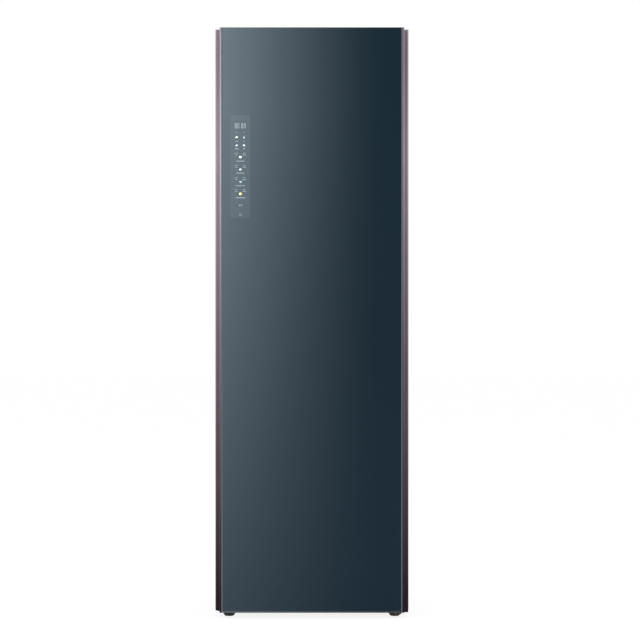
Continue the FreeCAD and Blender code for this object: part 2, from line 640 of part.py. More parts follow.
# ---------------------------------------------------------------- casing
def casing():
    """Base tray, side panels and trims, back, top, cap and front collar."""
    inner = "half - sheet - 0.5"
    tray = Piece("base_tray")
    tray.pad("XY", "foot_lift", "base_top",
             oblong("0.5 - half", "half - 0.5", "body_front + 0.5", "back - sheet"))
    wall_front, wall_back = "trim_back + sheet * 2", "back - sheet * 2"
    tray.pad("XY", "base_top", "foot_lift + tray_tall", [
        (f"-({inner})", wall_front), (f"-({inner})", wall_back), (inner, wall_back),
        (inner, wall_front), (f"{inner} - tray_wall", wall_front),
        (f"{inner} - tray_wall", f"{wall_back} - tray_wall"),
        (f"tray_wall - ({inner})", f"{wall_back} - tray_wall"),
        (f"tray_wall - ({inner})", wall_front)])
    tray.pocket("XY", "foot_lift + tray_wall", "base_top", oblong(
        f"tray_wall - ({inner})", f"{inner} - tray_wall",
        "collar_back", f"{wall_back} - tray_wall"))
    tray.pad("XY", "foot_lift + tray_wall", "base_top",
             *[ring(across, "foot_y", 14) for across in ("-foot_x", "foot_x")])
    tray.pad("XY", "foot_lift + tray_wall", "shell_low",
             *[octagon(f"pump_x + pump_post * cos({angle})",
                       f"pump_y + pump_post * sin({angle})", 7) for angle in (30, 150, 270)])
    tray.pad("YZ", "-channel_half", "tray_wall - channel_half",
             oblong("bay_back + 20", "back - 60", "foot_lift + tray_wall", "foot_lift + tray_tall"))
    tray.pocket("XY", "foot_lift", "base_top",
                *[ring(across, "foot_y", "stem_r + fit") for across in ("-foot_x", "foot_x")])

    for side, name in ((-1, "left"), (1, "right")):
        outer, inside = f"{side} * half", f"{side} * (half - sheet)"
        panel = Piece("side_panel_" + name)
        panel.pad("XY", "base_top", "lid_low", [
            (outer, "trim_back"), (outer, "back"), (f"{side} * (half - flange)", "back"),
            (f"{side} * (half - flange)", "back - sheet"), (inside, "back - sheet"),
            (inside, "trim_back + sheet"), (f"{side} * (half - flange)", "trim_back + sheet"),
            (f"{side} * (half - flange)", "trim_back")])

        trim = Piece("side_trim_" + name)
        inmost = f"{side} * collar_half"
        trim.pad("XY", "base_top", "tall", [
            (outer, "trim_back"), (outer, "body_front", "corner"), (inmost, "body_front"),
            (inmost, "trim_back")])
        across = f"{side} * (half - corner - 1)"
        trim.pocket("XY", "base_top", "tall", [
            (f"{across} - flute", "body_front - 0.01"), (across, "body_front + flute"),
            (f"{across} + flute", "body_front - 0.01")])
        trim.repeat("H_Axis", "flute_pitch * (flutes - 1)", "flutes")
        if side > 0:
            trim.body.Tip.Reversed = 1

    lid = Piece("top_panel")
    lid.pad("XY", "lid_low", "tall", oblong("-half", "half", "trim_back", "back"))
    rim = "half - sheet - 0.5"
    lid.pad("XY", "lid_low - lid_rim", "lid_low",
            oblong(f"-({rim})", rim, "trim_back + sheet", "back - sheet"),
            oblong(f"sheet - ({rim})", f"{rim} - sheet",
                   "trim_back + sheet * 2", "back - sheet * 2"))

    cap = Piece("top_cap")
    cap.pad("XY", "hinge_top", "tall",
            oblong("-collar_half", "collar_half", "body_front", "trim_back"))
    cap.pocket("XY", "hinge_top", "hinge_top + plate + play", oblong(
        "hinge_x - arm_long - play", "collar_half + 1", "body_front - 1", "trim_back + 1"))
    cap.pocket("XY", "hinge_top + plate + play", "tall - trim_wall", oblong(
        "trim_wall - collar_half", "collar_half - trim_wall",
        "body_front + trim_wall", "trim_back - trim_wall"))

    rear = Piece("back_panel")
    rear.pad("XZ", "back - sheet", "back",
             oblong("flange - half", "half - flange", "base_top", "lid_low"),
             ring("pump_x", "vent_level", "vent_r + 3"),
             ring("gland_x", "gland_level", "gland_r"))
    field_low, field_high = "room_low + field_gap / 2", "room_low + field_pitch - field_gap / 2"
    rear.pad("XZ", "back - sheet - press", "back - sheet",
             oblong("-room_half", "room_half", field_low, field_high, 20))
    rear.repeat("V_Axis", "field_pitch * (fields - 1)", "fields")
    rear.pocket("XZ", "back - press", "back",
                oblong("sheet - room_half", "room_half - sheet",
                       f"{field_low} + sheet", f"{field_high} - sheet", 19))
    rear.repeat("V_Axis", "field_pitch * (fields - 1)", "fields")
    rear.pocket("XZ", "back - sheet", "back",
                oblong("channel_half - 20", "channel_half - 20 + louvre_long",
                       "louvre_low", "louvre_low + louvre_tall"))
    rear.repeat("V_Axis", "louvre_pitch * (louvres - 1)", "louvres")

    thick = ("body_front", "collar_back")
    uprights = [block(mirrored(side, "room_half", "collar_half"), thick,
                      ("base_top", "hinge_top")) for side in (-1, 1)]
    rails = [block(("-room_half", "room_half"), thick, levels) for levels in (
        ("base_top", "bay_floor"), ("bay_top", "room_low"), ("room_high", "hinge_top"))]
    cheeks = [block(mirrored(side, "bay_half", "room_half"), thick,
                    ("bay_floor", "bay_top")) for side in (-1, 1)]
    group("front_collar", *uprights, *rails, *cheeks)

    slabs = [block(mirrored(side, "liner_half", "half - sheet"),
                   ("trim_back + sheet", "back - sheet"), ("floor_low", "lid_low - lid_rim - 2"))
             for side in (-1, 1)]
    slabs.append(block(("-liner_half", "liner_half"), ("liner_back", "back - sheet - press"),
                       ("floor_low", "lid_low - lid_rim - 2")))
    group("insulation", *slabs)


# ---------------------------------------------------------------- feet
def feet():
    """Front feet that screw up and down, and plain rests at the rear."""
    for side, name in ((-1, "left"), (1, "right")):
        foot = Piece("levelling_foot_" + name)
        foot.revolve("XZ", "foot_y", [
            (0, 0), ("foot_r - 5", 0), ("foot_r", 6), ("foot_r", 11), ("stem_r", 11),
            ("stem_r", "foot_lift + 24"), (0, "foot_lift + 24")], (f"{side} * foot_x", 0))
        spots = [(f"13 * cos({60 * k})", f"13 * sin({60 * k})") for k in range(6)]
        foot.pad("XY", 11, "foot_lift - play", spots, origin=(f"{side} * foot_x", "foot_y"))
    rests = []
    for side in (-1, 1):
        rests.append(rod("foot_r", "foot_lift", f"{side} * foot_x", "back - foot_back", 0))
    group("rear_rests", *rests)


# ---------------------------------------------------------------- chamber
def chamber():
    """Liner walls, ceiling, floor, air duct panel, lamp, shelf, filter and steam nozzle."""
    liner = Piece("chamber_liner")
    liner.pad("XY", "floor_low", "ceiling_top", [
        ("-liner_half", "collar_back"), ("-liner_half", "liner_back"),
        ("liner_half", "liner_back"), ("liner_half", "collar_back"),
        ("room_half", "collar_back"), ("room_half", "duct_back"),
        ("-room_half", "duct_back"), ("-room_half", "collar_back")])
    for side in (-1, 1):
        near, far = mirrored(side, "room_half - ledge", "room_half")
        liner.pad("YZ", near, far, oblong(
            "collar_back + 20", "duct_front - 14", "shelf_level - ledge_tall", "shelf_level"))

    slot = "stroke + rail_r + 2"
    ceiling = Piece("liner_ceiling")
    ceiling.pad("XY", "room_high", "ceiling_top",
                oblong("-room_half", "room_half", "collar_back", "duct_back"),
                *[oblong(f"{side} * post_x - ({slot})", f"{side} * post_x + {slot}",
                         "rail_y - rail_r - 1.5", "rail_y + rail_r + 1.5")
                  for side in (-1, 1)])
    for side in (-1, 1):
        low, high = mirrored(side, "room_half - 28", "room_half - 14")
        ceiling.pad("YZ", low, high, oblong(
            "rail_y - guide_apart / 2 - 12", "rail_y + guide_apart / 2 + 12",
            "ceiling_top", "guide_z + 10"))
        ceiling.pocket("YZ", low, high,
                       ring("rail_y - guide_apart / 2", "guide_z", "guide_r + fit"),
                       ring("rail_y + guide_apart / 2", "guide_z", "guide_r + fit"))

    floor = Piece("liner_floor")
    floor.pad("XY", "floor_low", "room_low",
              oblong("-room_half", "room_half", "collar_back", "duct_back"),
              oblong("-(filter_half + 2)", "filter_half + 2",
                     "filter_y - filter_deep / 2 - 2", "filter_y + filter_deep / 2 + 2", 6),
              oblong("scroll_tongue", "scroll_right", "scroll_front + tray_wall",
                     "scroll_back - tray_wall"),
              ring("steam_x", "steam_y", "hose_r + 6"))

    panel = Piece("duct_panel")
    panel.pad("XZ", "duct_front", "duct_front + liner",
              oblong("-room_half", "room_half", "room_low", "room_high"))
    slot_rows = "floor((room_high - room_low - air_slot_rise * 2) / air_slot_pitch)"
    slot_level = "room_low + air_slot_rise"
    panel.pocket("XZ", "duct_front", "duct_front + liner",
                 *[oblong(f"{side} * air_slot_x - air_slot_half",
                          f"{side} * air_slot_x + air_slot_half",
                          slot_level, f"{slot_level} + air_slot_tall") for side in (-1, 1)])
    panel.repeat("V_Axis", f"({slot_rows}) * air_slot_pitch", f"{slot_rows} + 1")
    panel.pad("XZ", "duct_front + liner", "duct_back",
              oblong("-2", "2", "room_low + 60", "room_high - 60"))

    lamp = Piece("chamber_lamp")
    lamp.pad("YZ", "-lamp_half", "lamp_half", [
        ("collar_back + 22", "room_high"), ("collar_back + 22", "room_high - 3", 2),
        ("collar_back + 30", "room_high - 9", 4), ("collar_back + 44", "room_high - 9", 4),
        ("collar_back + 52", "room_high - 3", 2), ("collar_back + 52", "room_high")])

    shelf_front, shelf_back = "collar_back + 26", "duct_front - 20"
    reach = "room_half - 2"
    shelf = Piece("wire_shelf")
    shelf.pad("YZ", f"-({reach})", reach,
              oblong(shelf_front, f"{shelf_front} + 3", "shelf_level", "shelf_level + 7"),
              oblong(f"{shelf_back} - 3", shelf_back, "shelf_level", "shelf_level + 7"))
    shelf.pad("XZ", shelf_front, shelf_back, octagon("20 - room_half", "shelf_level + 7", "wire_r"))
    shelf.repeat("H_Axis", "(room_half - 20) * 2", "shelf_wires")

    sieve = Piece("lint_filter")
    near, far = "filter_y - filter_deep / 2", "filter_y + filter_deep / 2"
    sieve.pad("XY", "room_low - 22", "room_low + play",
              oblong("-filter_half", "filter_half", near, far, 5),
              oblong("3 - filter_half", "filter_half - 3", f"{near} + 3", f"{far} - 3", 3))
    sieve.pad("XY", "room_low + play", "room_low + play + 2",
              oblong("-filter_half - 9", "filter_half + 9", f"{near} - 9", f"{far} + 9", 9),
              oblong("3 - filter_half", "filter_half - 3", f"{near} + 3", f"{far} - 3", 3))
    sieve.pad("XY", "room_low - 22", "room_low - 20",
              oblong("2 - filter_half", "filter_half - 2", f"{near} + 2", f"{far} - 2", 3))
    sieve.pad("XY", "room_low - 20", "room_low + play + 2",
              oblong(-4, 4, f"{near} + 1", f"{far} - 1"))
    sieve.pad("XY", "room_low + play + 2", "room_low + play + 8",
              oblong(-26, 26, f"{near} - 5", f"{near} + 5", 4))

    nozzle = Piece("steam_nozzle")
    nozzle.revolve("XZ", "steam_y", [
        ("hose_r - 1.5", "floor_low - 6"), ("hose_r + 4", "floor_low - 6"),
        ("hose_r + 4", "room_low"), (30, "room_low"), (30, "room_low + 3"),
        (20, "room_low + 14"), (13, "room_low + 20"), (9, "room_low + 20"),
        (9, "room_low + 8"), ("hose_r - 1.5", "room_low + 8")], ("steam_x", 0))


# ---------------------------------------------------------------- hanger rail
def hanger_rail():
    """Shaking rail on two guide rods, its motor and crank, and the hangers."""
    rods = [rod("guide_r", "(room_half - 14) * 2", "14 - room_half",
                f"rail_y + {side} * guide_apart / 2", "guide_z", "X") for side in (-1, 1)]
    group("rail_guides", *rods)

    rail = Piece("hanger_rail")
    rail.pad("YZ", "-rail_half", "rail_half", ring("rail_y", "rail_level", "rail_r"))
    rail.pad("YZ", "-rail_half - 5", "-rail_half", ring("rail_y", "rail_level", "rail_r + 4"))
    rail.pad("YZ", "rail_half", "rail_half + 5", ring("rail_y", "rail_level", "rail_r + 4"))
    rail.pad("XY", "rail_level", "guide_z - 8",
             *[ring(f"{side} * post_x", "rail_y", "rail_r - 1") for side in (-1, 1)])
    for side in (-1, 1):
        rail.pad("XY", "guide_z - 8", "guide_z + 9", oblong(
            f"{side} * post_x - shoe", f"{side} * post_x + shoe",
            "rail_y - guide_apart / 2 - 9", "rail_y + guide_apart / 2 + 9"))
    rail.pad("XY", "guide_z + 9", "yoke_top",
             oblong("-post_x - shoe", "post_x + shoe", "rail_y - 28", "rail_y + 28"),
             oblong("crank_x - 5", "crank_x + 5", "rail_y - 25", "rail_y + 25"))
    rail.pocket("YZ", "-post_x - 17", "post_x + 17",
                ring("rail_y - guide_apart / 2", "guide_z", "guide_r + fit"),
                ring("rail_y + guide_apart / 2", "guide_z", "guide_r + fit"))

    crank = Piece("rail_crank")
    crank.pad("XY", "crank_low", "crank_top", ring("crank_x", "rail_y", "stroke + 8"),
              ring("crank_x", "rail_y", "shaft_r + fit"))
    crank.pad("XY", "yoke_top + play", "crank_low", ring("crank_x", "rail_y + stroke", 4.5))

    motor = Piece("rail_motor")
    foot_near, foot_far = "rail_y - guide_apart / 2 - 24", "rail_y + guide_apart / 2 + 24"
    motor.pad("YZ", "crank_x - 22", "crank_x + 22", [
        (f"{foot_near} - 10", "ceiling_top"), (foot_near, "ceiling_top"),
        (foot_near, "crank_top + 2"), (foot_far, "crank_top + 2"), (foot_far, "ceiling_top"),
        (f"{foot_far} + 10", "ceiling_top"), (f"{foot_far} + 10", "ceiling_top + 2"),
        (f"{foot_far} + 2", "ceiling_top + 2"), (f"{foot_far} + 2", "crank_top + 4"),
        (f"{foot_near} - 2", "crank_top + 4"), (f"{foot_near} - 2", "ceiling_top + 2"),
        (f"{foot_near} - 10", "ceiling_top + 2")])
    motor.pad("XY", "crank_top + 4", "crank_top + 24", ring("crank_x", "rail_y", 28))
    motor.pad("XY", "crank_low - 1", "crank_top + 4", ring("crank_x", "rail_y", "shaft_r"))
    motor.pad("XY", "crank_top + 24", "crank_top + 28", ring("crank_x", "rail_y", 12))

    for place, name in ((-1, "left"), (0, "middle"), (1, "right")):
        hanger(f"hanger_{name}", f"{place} * hanger_pitch")


def hanger(label, across):
    """A jacket hanger: shoulder arms, neck and a hook round the rail."""
    origin = ("rail_y", "rail_level")
    left, right = f"{across} - hanger_thick / 2", f"{across} + hanger_thick / 2"
    tip = "hanger_wide / 2"
    made = Piece(label)
    made.pad("YZ", left, right, [
        (-7, -34, 4), (f"-0.3 * {tip}", -44, 60), (f"12 - {tip}", -88, 18),
        (f"-{tip}", -112, 7), (f"20 - {tip}", -118, 6), (f"-0.3 * {tip}", -76, 60),
        (0, -64, 30), (f"0.3 * {tip}", -76, 60), (f"{tip} - 20", -118, 6),
        (tip, -112, 7), (f"{tip} - 12", -88, 18), (f"0.3 * {tip}", -44, 60),
        (7, -34, 4)], origin=origin)
    hook = (f"{across} - hook_thick / 2", f"{across} + hook_thick / 2")
    made.pad("YZ", *hook, oblong(-5, 5, -40, "-rail_r - 3"), origin=origin)
    made.pad("YZ", *hook, ring(0, 0, "rail_r + hook_thick"), ring(0, 0, "rail_r + play"),
             origin=origin)
    made.pocket("YZ", *hook, oblong(6, "rail_r + 8", "-rail_r - 7", -3), origin=origin)


# ---------------------------------------------------------------- water
def water():
    """Tank bay, two tanks with lids, pump, steam generator and hoses."""
    bay = Piece("tank_bay")
    bay.pad("XY", "foot_lift + tray_wall", "bay_top", [
        ("-bay_half", "bay_front"), ("-bay_half", "bay_back"), ("bay_half", "bay_back"),
        ("bay_half", "bay_front"), ("bay_half - bay_wall", "bay_front"),
        ("bay_half - bay_wall", "bay_back - bay_wall"), ("bay_wall / 2", "bay_back - bay_wall"),
        ("bay_wall / 2", "bay_front"), ("-bay_wall / 2", "bay_front"),
        ("-bay_wall / 2", "bay_back - bay_wall"), ("bay_wall - bay_half", "bay_back - bay_wall"),
        ("bay_wall - bay_half", "bay_front")])
    bay.pad("XY", "bay_floor", "tank_low",
            oblong("-bay_half", "bay_half", "bay_front", "bay_back"))

    lids = []
    for side, name in ((-1, "drain"), (1, "supply")):
        low, high = mirrored(side, "bay_wall / 2 + slack", "bay_half - bay_wall - slack")
        near, far = "bay_front + 1", "bay_back - bay_wall - slack"
        tank = Piece(name + "_tank")
        tank.pad("XY", "tank_low", "tank_top", oblong(low, high, near, far, 10))
        tank.pocket("XY", "tank_low + tank_wall", "tank_top", oblong(
            f"{low} + tank_wall", f"{high} - tank_wall", f"{near} + tank_wall",
            f"{far} - tank_wall", 7))
        middle = f"{side} * (bay_half - bay_wall / 2) / 2"
        tank.pad("XY", "tank_top - 62", "tank_top - 22", oblong(
            f"{middle} - grip_half", f"{middle} + grip_half",
            f"{near} + tank_wall", f"{near} + 26"))
        tank.pocket("XZ", near, f"{near} + 23", oblong(
            f"{middle} - grip_half + 4", f"{middle} + grip_half - 4",
            "tank_top - 58", "tank_top - 26"))
        lid = Piece(name + "_lid")
        lids.append(lid.body)
        lid.pad("XY", "tank_top", "tank_top + 4", oblong(low, high, near, far, 10))
        lid.pad("XY", "tank_top - 6", "tank_top", oblong(
            f"{low} + tank_wall + play", f"{high} - tank_wall - play",
            f"{near} + tank_wall + play", f"{far} - tank_wall - play", 7), oblong(
            f"{low} + tank_wall + 3", f"{high} - tank_wall - 3",
            f"{near} + tank_wall + 3", f"{far} - tank_wall - 3"))
        lid.pad("XY", "tank_top + 4", "tank_top + 14", ring(middle, f"{near} + 70", "cap_r"))
        lid.pad("XY", "tank_top + 4", "tank_top + 10", oblong(
            f"{middle} - 45", f"{middle} + 45", f"{far} - 42", f"{far} - 26"))
        del nodes[lid.body.Label]
    group("tank_lids", *lids)

    pump = Piece("water_pump")
    pump.pad("XY", "foot_lift + tray_wall", "shell_low", oblong(
        "water_x - 22", "water_x + 22", "bay_back + 14", "bay_back + 66"))
    pump.pad("XZ", "bay_back + 20", "bay_back + 62", ring("water_x", "shell_low + 18", 20))
    pump.pad("XZ", "bay_back + 12", "bay_back + 20", ring("water_x", "shell_low + 18", 13))
    pump.pad("XZ", "bay_back + 62", "bay_back + 72", ring("water_x", "shell_low + 18", "hose_r"))

    boiler = Piece("steam_generator")
    boiler.pad("XY", "foot_lift + tray_wall", "shell_low", oblong(
        "steam_x - 34", "steam_x + 34", "steam_y - 40", "steam_y + 62", 6))
    boiler.pad("XY", "shell_low", "shell_low + 92", oblong(
        "steam_x - 30", "steam_x + 30", "steam_y - 34", "steam_y + 56", 14))
    boiler.pad("XY", "shell_low + 92", "shell_low + 98", oblong(
        "steam_x - 34", "steam_x + 34", "steam_y - 38", "steam_y + 60", 14))
    boiler.pad("XY", "shell_low + 98", "shell_low + 108", ring("steam_x", "steam_y", "hose_r + 2"))
    boiler.pad("YZ", "steam_x - 42", "steam_x - 30",
               ring("steam_y + 38", "shell_low + 18", "hose_r"))

    hoses = [
        tube("hose_r", [
            ("steam_x", "steam_y", "shell_low + 108"), ("steam_x", "steam_y", "shell_low + 170"),
            ("steam_x + 20", "steam_y + 8", "floor_low - 120"),
            ("steam_x", "steam_y", "floor_low - 60"), ("steam_x", "steam_y", "floor_low - 6")]),
        tube("hose_r", [
            ("water_x", "bay_back + 72", "shell_low + 18"),
            ("water_x", "steam_y + 38", "shell_low + 18"),
            ("steam_x - 42", "steam_y + 38", "shell_low + 18")]),
    ]
    group("hoses", *hoses)


# ---------------------------------------------------------------- air circuit
def scroll_outline(grow, outlet):
    """The fan housing's spiral: rounded corners whose radii grow towards the outlet."""
    left, top = f"-(fan_r + 20 + {grow})", f"fan_level + fan_r + 8 + {grow}"
    low, right = f"fan_level - fan_r - 32 - {grow}", f"scroll_right + {grow}"
    tongue = f"scroll_tongue - {grow}"
    return [(left, top, f"fan_r + 12 + {grow}"), (left, low, f"fan_r + 24 + {grow}"),
            (right, low, f"fan_r + 34 + {grow}"), (right, outlet), (tongue, outlet),
            (tongue, top, f"8 - {grow}")]


def exchanger(label, near):
    """A finned heat exchanger: end plates and a row of fins on a core."""
    far = f"{near} + coil_deep"
    made = Piece(label)
    made.pad("YZ", "-coil_half", "coil_half",
             oblong(f"{near} + 4", f"{far} - 4", "coil_low + 4", "coil_high - 4"))
    made.pad("YZ", "-coil_half", "2 - coil_half", oblong(near, far, "coil_low", "coil_high"))
    made.pad("YZ", "coil_half - 2", "coil_half", oblong(near, far, "coil_low", "coil_high"))
    made.pad("YZ", "fin_pitch - coil_half", "fin_pitch - coil_half + 1.2",
             oblong(f"{near} + 1", f"{far} - 1", "coil_low + 1", "coil_high - 1"))
    made.repeat("N_Axis", "(floor(coil_half * 2 / fin_pitch) - 2) * fin_pitch",
                "floor(coil_half * 2 / fin_pitch) - 1")
    return made


def air_circuit():
    """Channel under the chamber floor, two heat exchangers, scroll fan and its motor."""
    wall = "tray_wall"
    channel = Piece("air_channel")
    channel.pad("YZ", "-channel_half", "channel_half", [
        ("channel_front", "floor_low"), ("channel_front", "channel_low", 20),
        ("channel_back", "channel_low", 4), ("channel_back", "floor_low")])
    channel.pocket("YZ", f"{wall} - channel_half", f"channel_half - {wall}", [
        (f"channel_front + {wall}", "floor_low + 1"),
        (f"channel_front + {wall}", f"channel_low + {wall}", 18),
        (f"channel_back - {wall}", f"channel_low + {wall}", 2),
        (f"channel_back - {wall}", "floor_low + 1")])
    channel.pocket("XZ", f"channel_back - {wall}", "channel_back",
                   ring(0, "fan_level", "fan_r - 16"))
    channel.pad("XY", f"channel_low + {wall}", "coil_low",
                *[oblong(f"{x} - 3", f"{x} + 3", "coil_a", "coil_b + coil_deep")
                  for x in ("1 - coil_half", "coil_half - 1")])
    channel.pocket("YZ", "-channel_half", f"{wall} - channel_half",
                   ring("coil_b + coil_deep / 2", "pipe_level", "pipe_r + 1"))
    channel.pad("XY", "shell_low", "channel_low",
                *[oblong(f"{x} - 6", f"{x} + 6", f"{y} - 6", f"{y} + 6")
                  for x in ("-channel_half + 8", "channel_half - 8")
                  for y in ("channel_front + 30", "channel_back - 20")])
    exchanger("evaporator", "coil_a")
    exchanger("condenser", "coil_b")

    scroll = Piece("fan_scroll")
    scroll.pad("XZ", f"scroll_front + {wall}", "scroll_back", scroll_outline(wall, "floor_low"))
    scroll.pocket("XZ", f"scroll_front + {wall}", f"scroll_back - {wall}",
                  scroll_outline("0", "floor_low + 1"))
    scroll.pocket("XZ", f"scroll_back - {wall}", "scroll_back",
                  ring(0, "fan_level", "shaft_r + 4"))
    cover = Piece("fan_cover")
    cover.pad("XZ", "scroll_front", f"scroll_front + {wall}",
              scroll_outline(wall, "floor_low"), ring(0, "fan_level", "fan_r - 12"))
    cover.revolve("YZ", 0, [
        ("channel_back", "fan_r - 18"), ("scroll_front + 2", "fan_r - 18"),
        ("scroll_front + 5", "fan_r - 21"), ("scroll_front + 5", "fan_r - 19"),
        ("scroll_front + 2", "fan_r - 12"), ("channel_back", "fan_r - 12")],
        (0, "fan_level"), "H_Axis")

    wheel = Piece("fan_wheel")
    wheel.revolve("YZ", 0, [
        ("wheel_front + 12", 0), ("wheel_front + 12", 10), ("wheel_back - 8", 14),
        ("wheel_back - 3", 26), ("wheel_back - 3", "fan_r - 1"), ("wheel_back", "fan_r - 1"),
        ("wheel_back", 12), ("wheel_back + 2", 12), ("wheel_back + 2", "shaft_r"),
        ("wheel_back + 18", "shaft_r"), ("wheel_back + 18", 0)], (0, "fan_level"), "H_Axis")
    wheel.revolve("YZ", 0, [
        ("wheel_front", "fan_r - 9"), ("wheel_front", "fan_r"), ("wheel_front + 3", "fan_r"),
        ("wheel_front + 3", "fan_r - 9")], (0, "fan_level"), "H_Axis")
    wheel.pad("XZ", "wheel_front + 2", "wheel_back - 2", [
        ("fan_r - 20", -4), ("fan_r - 10", 1), ("fan_r - 3", 9), ("fan_r - 4.2", 10),
        ("fan_r - 11", 2.6), ("fan_r - 20.6", -2.6)], origin=(0, "fan_level"))
    wheel.ring_of("blades")

    motor = Piece("fan_motor")
    motor.revolve("YZ", 0, [
        ("scroll_back", "shaft_r + fit"), ("scroll_back", 34), ("scroll_back + 6", 38),
        ("scroll_back + 24", 38), ("scroll_back + 30", 32), ("scroll_back + 30", 12),
        ("scroll_back + 18", 12), ("scroll_back + 18", "shaft_r + fit")],
        (0, "fan_level"), "H_Axis")


# ---------------------------------------------------------------- compressor, cooling, power
def machine():
    """Compressor, refrigerant pipes, cooling fan, control box and the cord gland."""
    shell = Piece("compressor")
    shell.revolve("XZ", "pump_y", [
        (0, "shell_low"), (50, "shell_low"), (50, "shell_low + 4"), ("pump_r", "shell_low + 14"),
        ("pump_r", "shell_top - 30"), ("pump_r * 0.85", "shell_top - 10"),
        (12, "shell_top"), (0, "shell_top")], ("pump_x", 0))
    shell.pad("XY", "shell_low", "shell_low + 4",
              *[octagon(f"pump_x + pump_post * cos({angle})",
                        f"pump_y + pump_post * sin({angle})", 11) for angle in (30, 150, 270)])
    pipe_y = "coil_b + coil_deep / 2"
    group("refrigerant_pipes", tube("pipe_r", [
        ("pump_x", "pump_y", "shell_top"), ("pump_x", "pump_y", "shell_top + 60"),
        ("pump_x + 10", pipe_y, "pipe_level"), ("-coil_half", pipe_y, "pipe_level")], bend=24))

    frame = Piece("cooling_fan_frame")
    reach = "vent_r + 8"
    frame.pad("XZ", "vent_front", "back - sheet",
              oblong(f"pump_x - ({reach})", f"pump_x + {reach}",
                     f"vent_level - ({reach})", f"vent_level + {reach}", 6),
              ring("pump_x", "vent_level", "vent_r + 2"))
    frame.pad("XZ", "vent_front", "vent_front + 3",
              ring("pump_x", "vent_level", 20), ring("pump_x", "vent_level", "shaft_r + fit"))
    spoke = oblong("-3", "3", "18", "vent_r + 4")
    frame.pad("XZ", "vent_front", "vent_front + 3", spoke, origin=("pump_x", "vent_level"))
    frame.ring_of("4")

    rotor = Piece("cooling_fan_rotor")
    rotor.revolve("YZ", "pump_x", [
        ("vent_front - 2", 0), ("vent_front - 2", "shaft_r"), ("vent_front + 4", "shaft_r"),
        ("vent_front + 4", 17), ("vent_front + 6", 19), ("back - 7", 19), ("back - 5", 16),
        ("back - 5", 0)], (0, "vent_level"), "H_Axis")
    turn_axis = rotor.last().Profile[0]
    spots = ((-8.5, -10), (-6.5, -11), (8.5, 10), (6.5, 11))
    root, tip = [rotor.sketch("YZ", level, [[
        (f"vent_middle + {grow * along}", f"vent_level + {grow * up}") for along, up in spots]])
        for level, grow in (("pump_x + 17", 1), ("pump_x + vent_r - 5", 1.2))]
    blade = rotor.body.newObject("PartDesign::AdditiveLoft", "Blade")
    blade.Profile = root
    blade.Sections = [tip]
    blade.Ruled = True
    rotor.ring_of("vent_blades", axis="H_Axis", base=blade, sketch=turn_axis)

    box = Piece("control_box")
    box.pad("XY", "shell_low - 6", "shell_low + 104", oblong(
        "channel_half - 40", "half - 60", "channel_back + 16", "back - 14", 5))
    box.pocket("XY", "shell_low + 98", "shell_low + 104", oblong(
        "channel_half - 34", "half - 66", "channel_back + 22", "back - 20", 3))
    box.pad("XY", "foot_lift + tray_wall", "shell_low - 6", oblong(
        "channel_half - 30", "channel_half - 20", "channel_back + 26", "back - 24"), oblong(
        "half - 80", "half - 70", "channel_back + 26", "back - 24"))

    gland = Piece("cord_gland")
    gland.revolve("YZ", "gland_x", [
        ("back - sheet - 8", "gland_r - 5"), ("back - sheet - 8", "gland_r + 4"),
        ("back - sheet", "gland_r + 4"), ("back - sheet", "gland_r"), ("back", "gland_r"),
        ("back", "gland_r - 5")], (0, "gland_level"), "H_Axis")


for build in (door, hinges, casing, feet, chamber, hanger_rail, water, air_circuit, machine):
    build()
doc.recompute()

# ---------------------------------------------------------------- checks and files
faults = [f"{o.Label}: {o.State}" for o in doc.Objects
          if "Invalid" in o.State or "Error" in o.State]
for feature in cuts:
    if feature.Shape.Volume >= feature.BaseFeature.Shape.Volume - 1e-6:
        faults.append(f"{feature.getParentGeoFeatureGroup().Label} {feature.Name} cuts nothing")
for label, thing in nodes.items():
    if thing.Shape.isNull() or not thing.Shape.isValid() or not thing.Shape.Solids:
        faults.append(f"{label}: no valid shape")
if faults:
    raise RuntimeError("; ".join(faults))
os.makedirs("parts", exist_ok=True)
for label, thing in nodes.items():
    thing.Shape.exportStep(f"parts/{label}.step")
print(len(nodes), "sub-parts")
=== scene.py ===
import json
import math

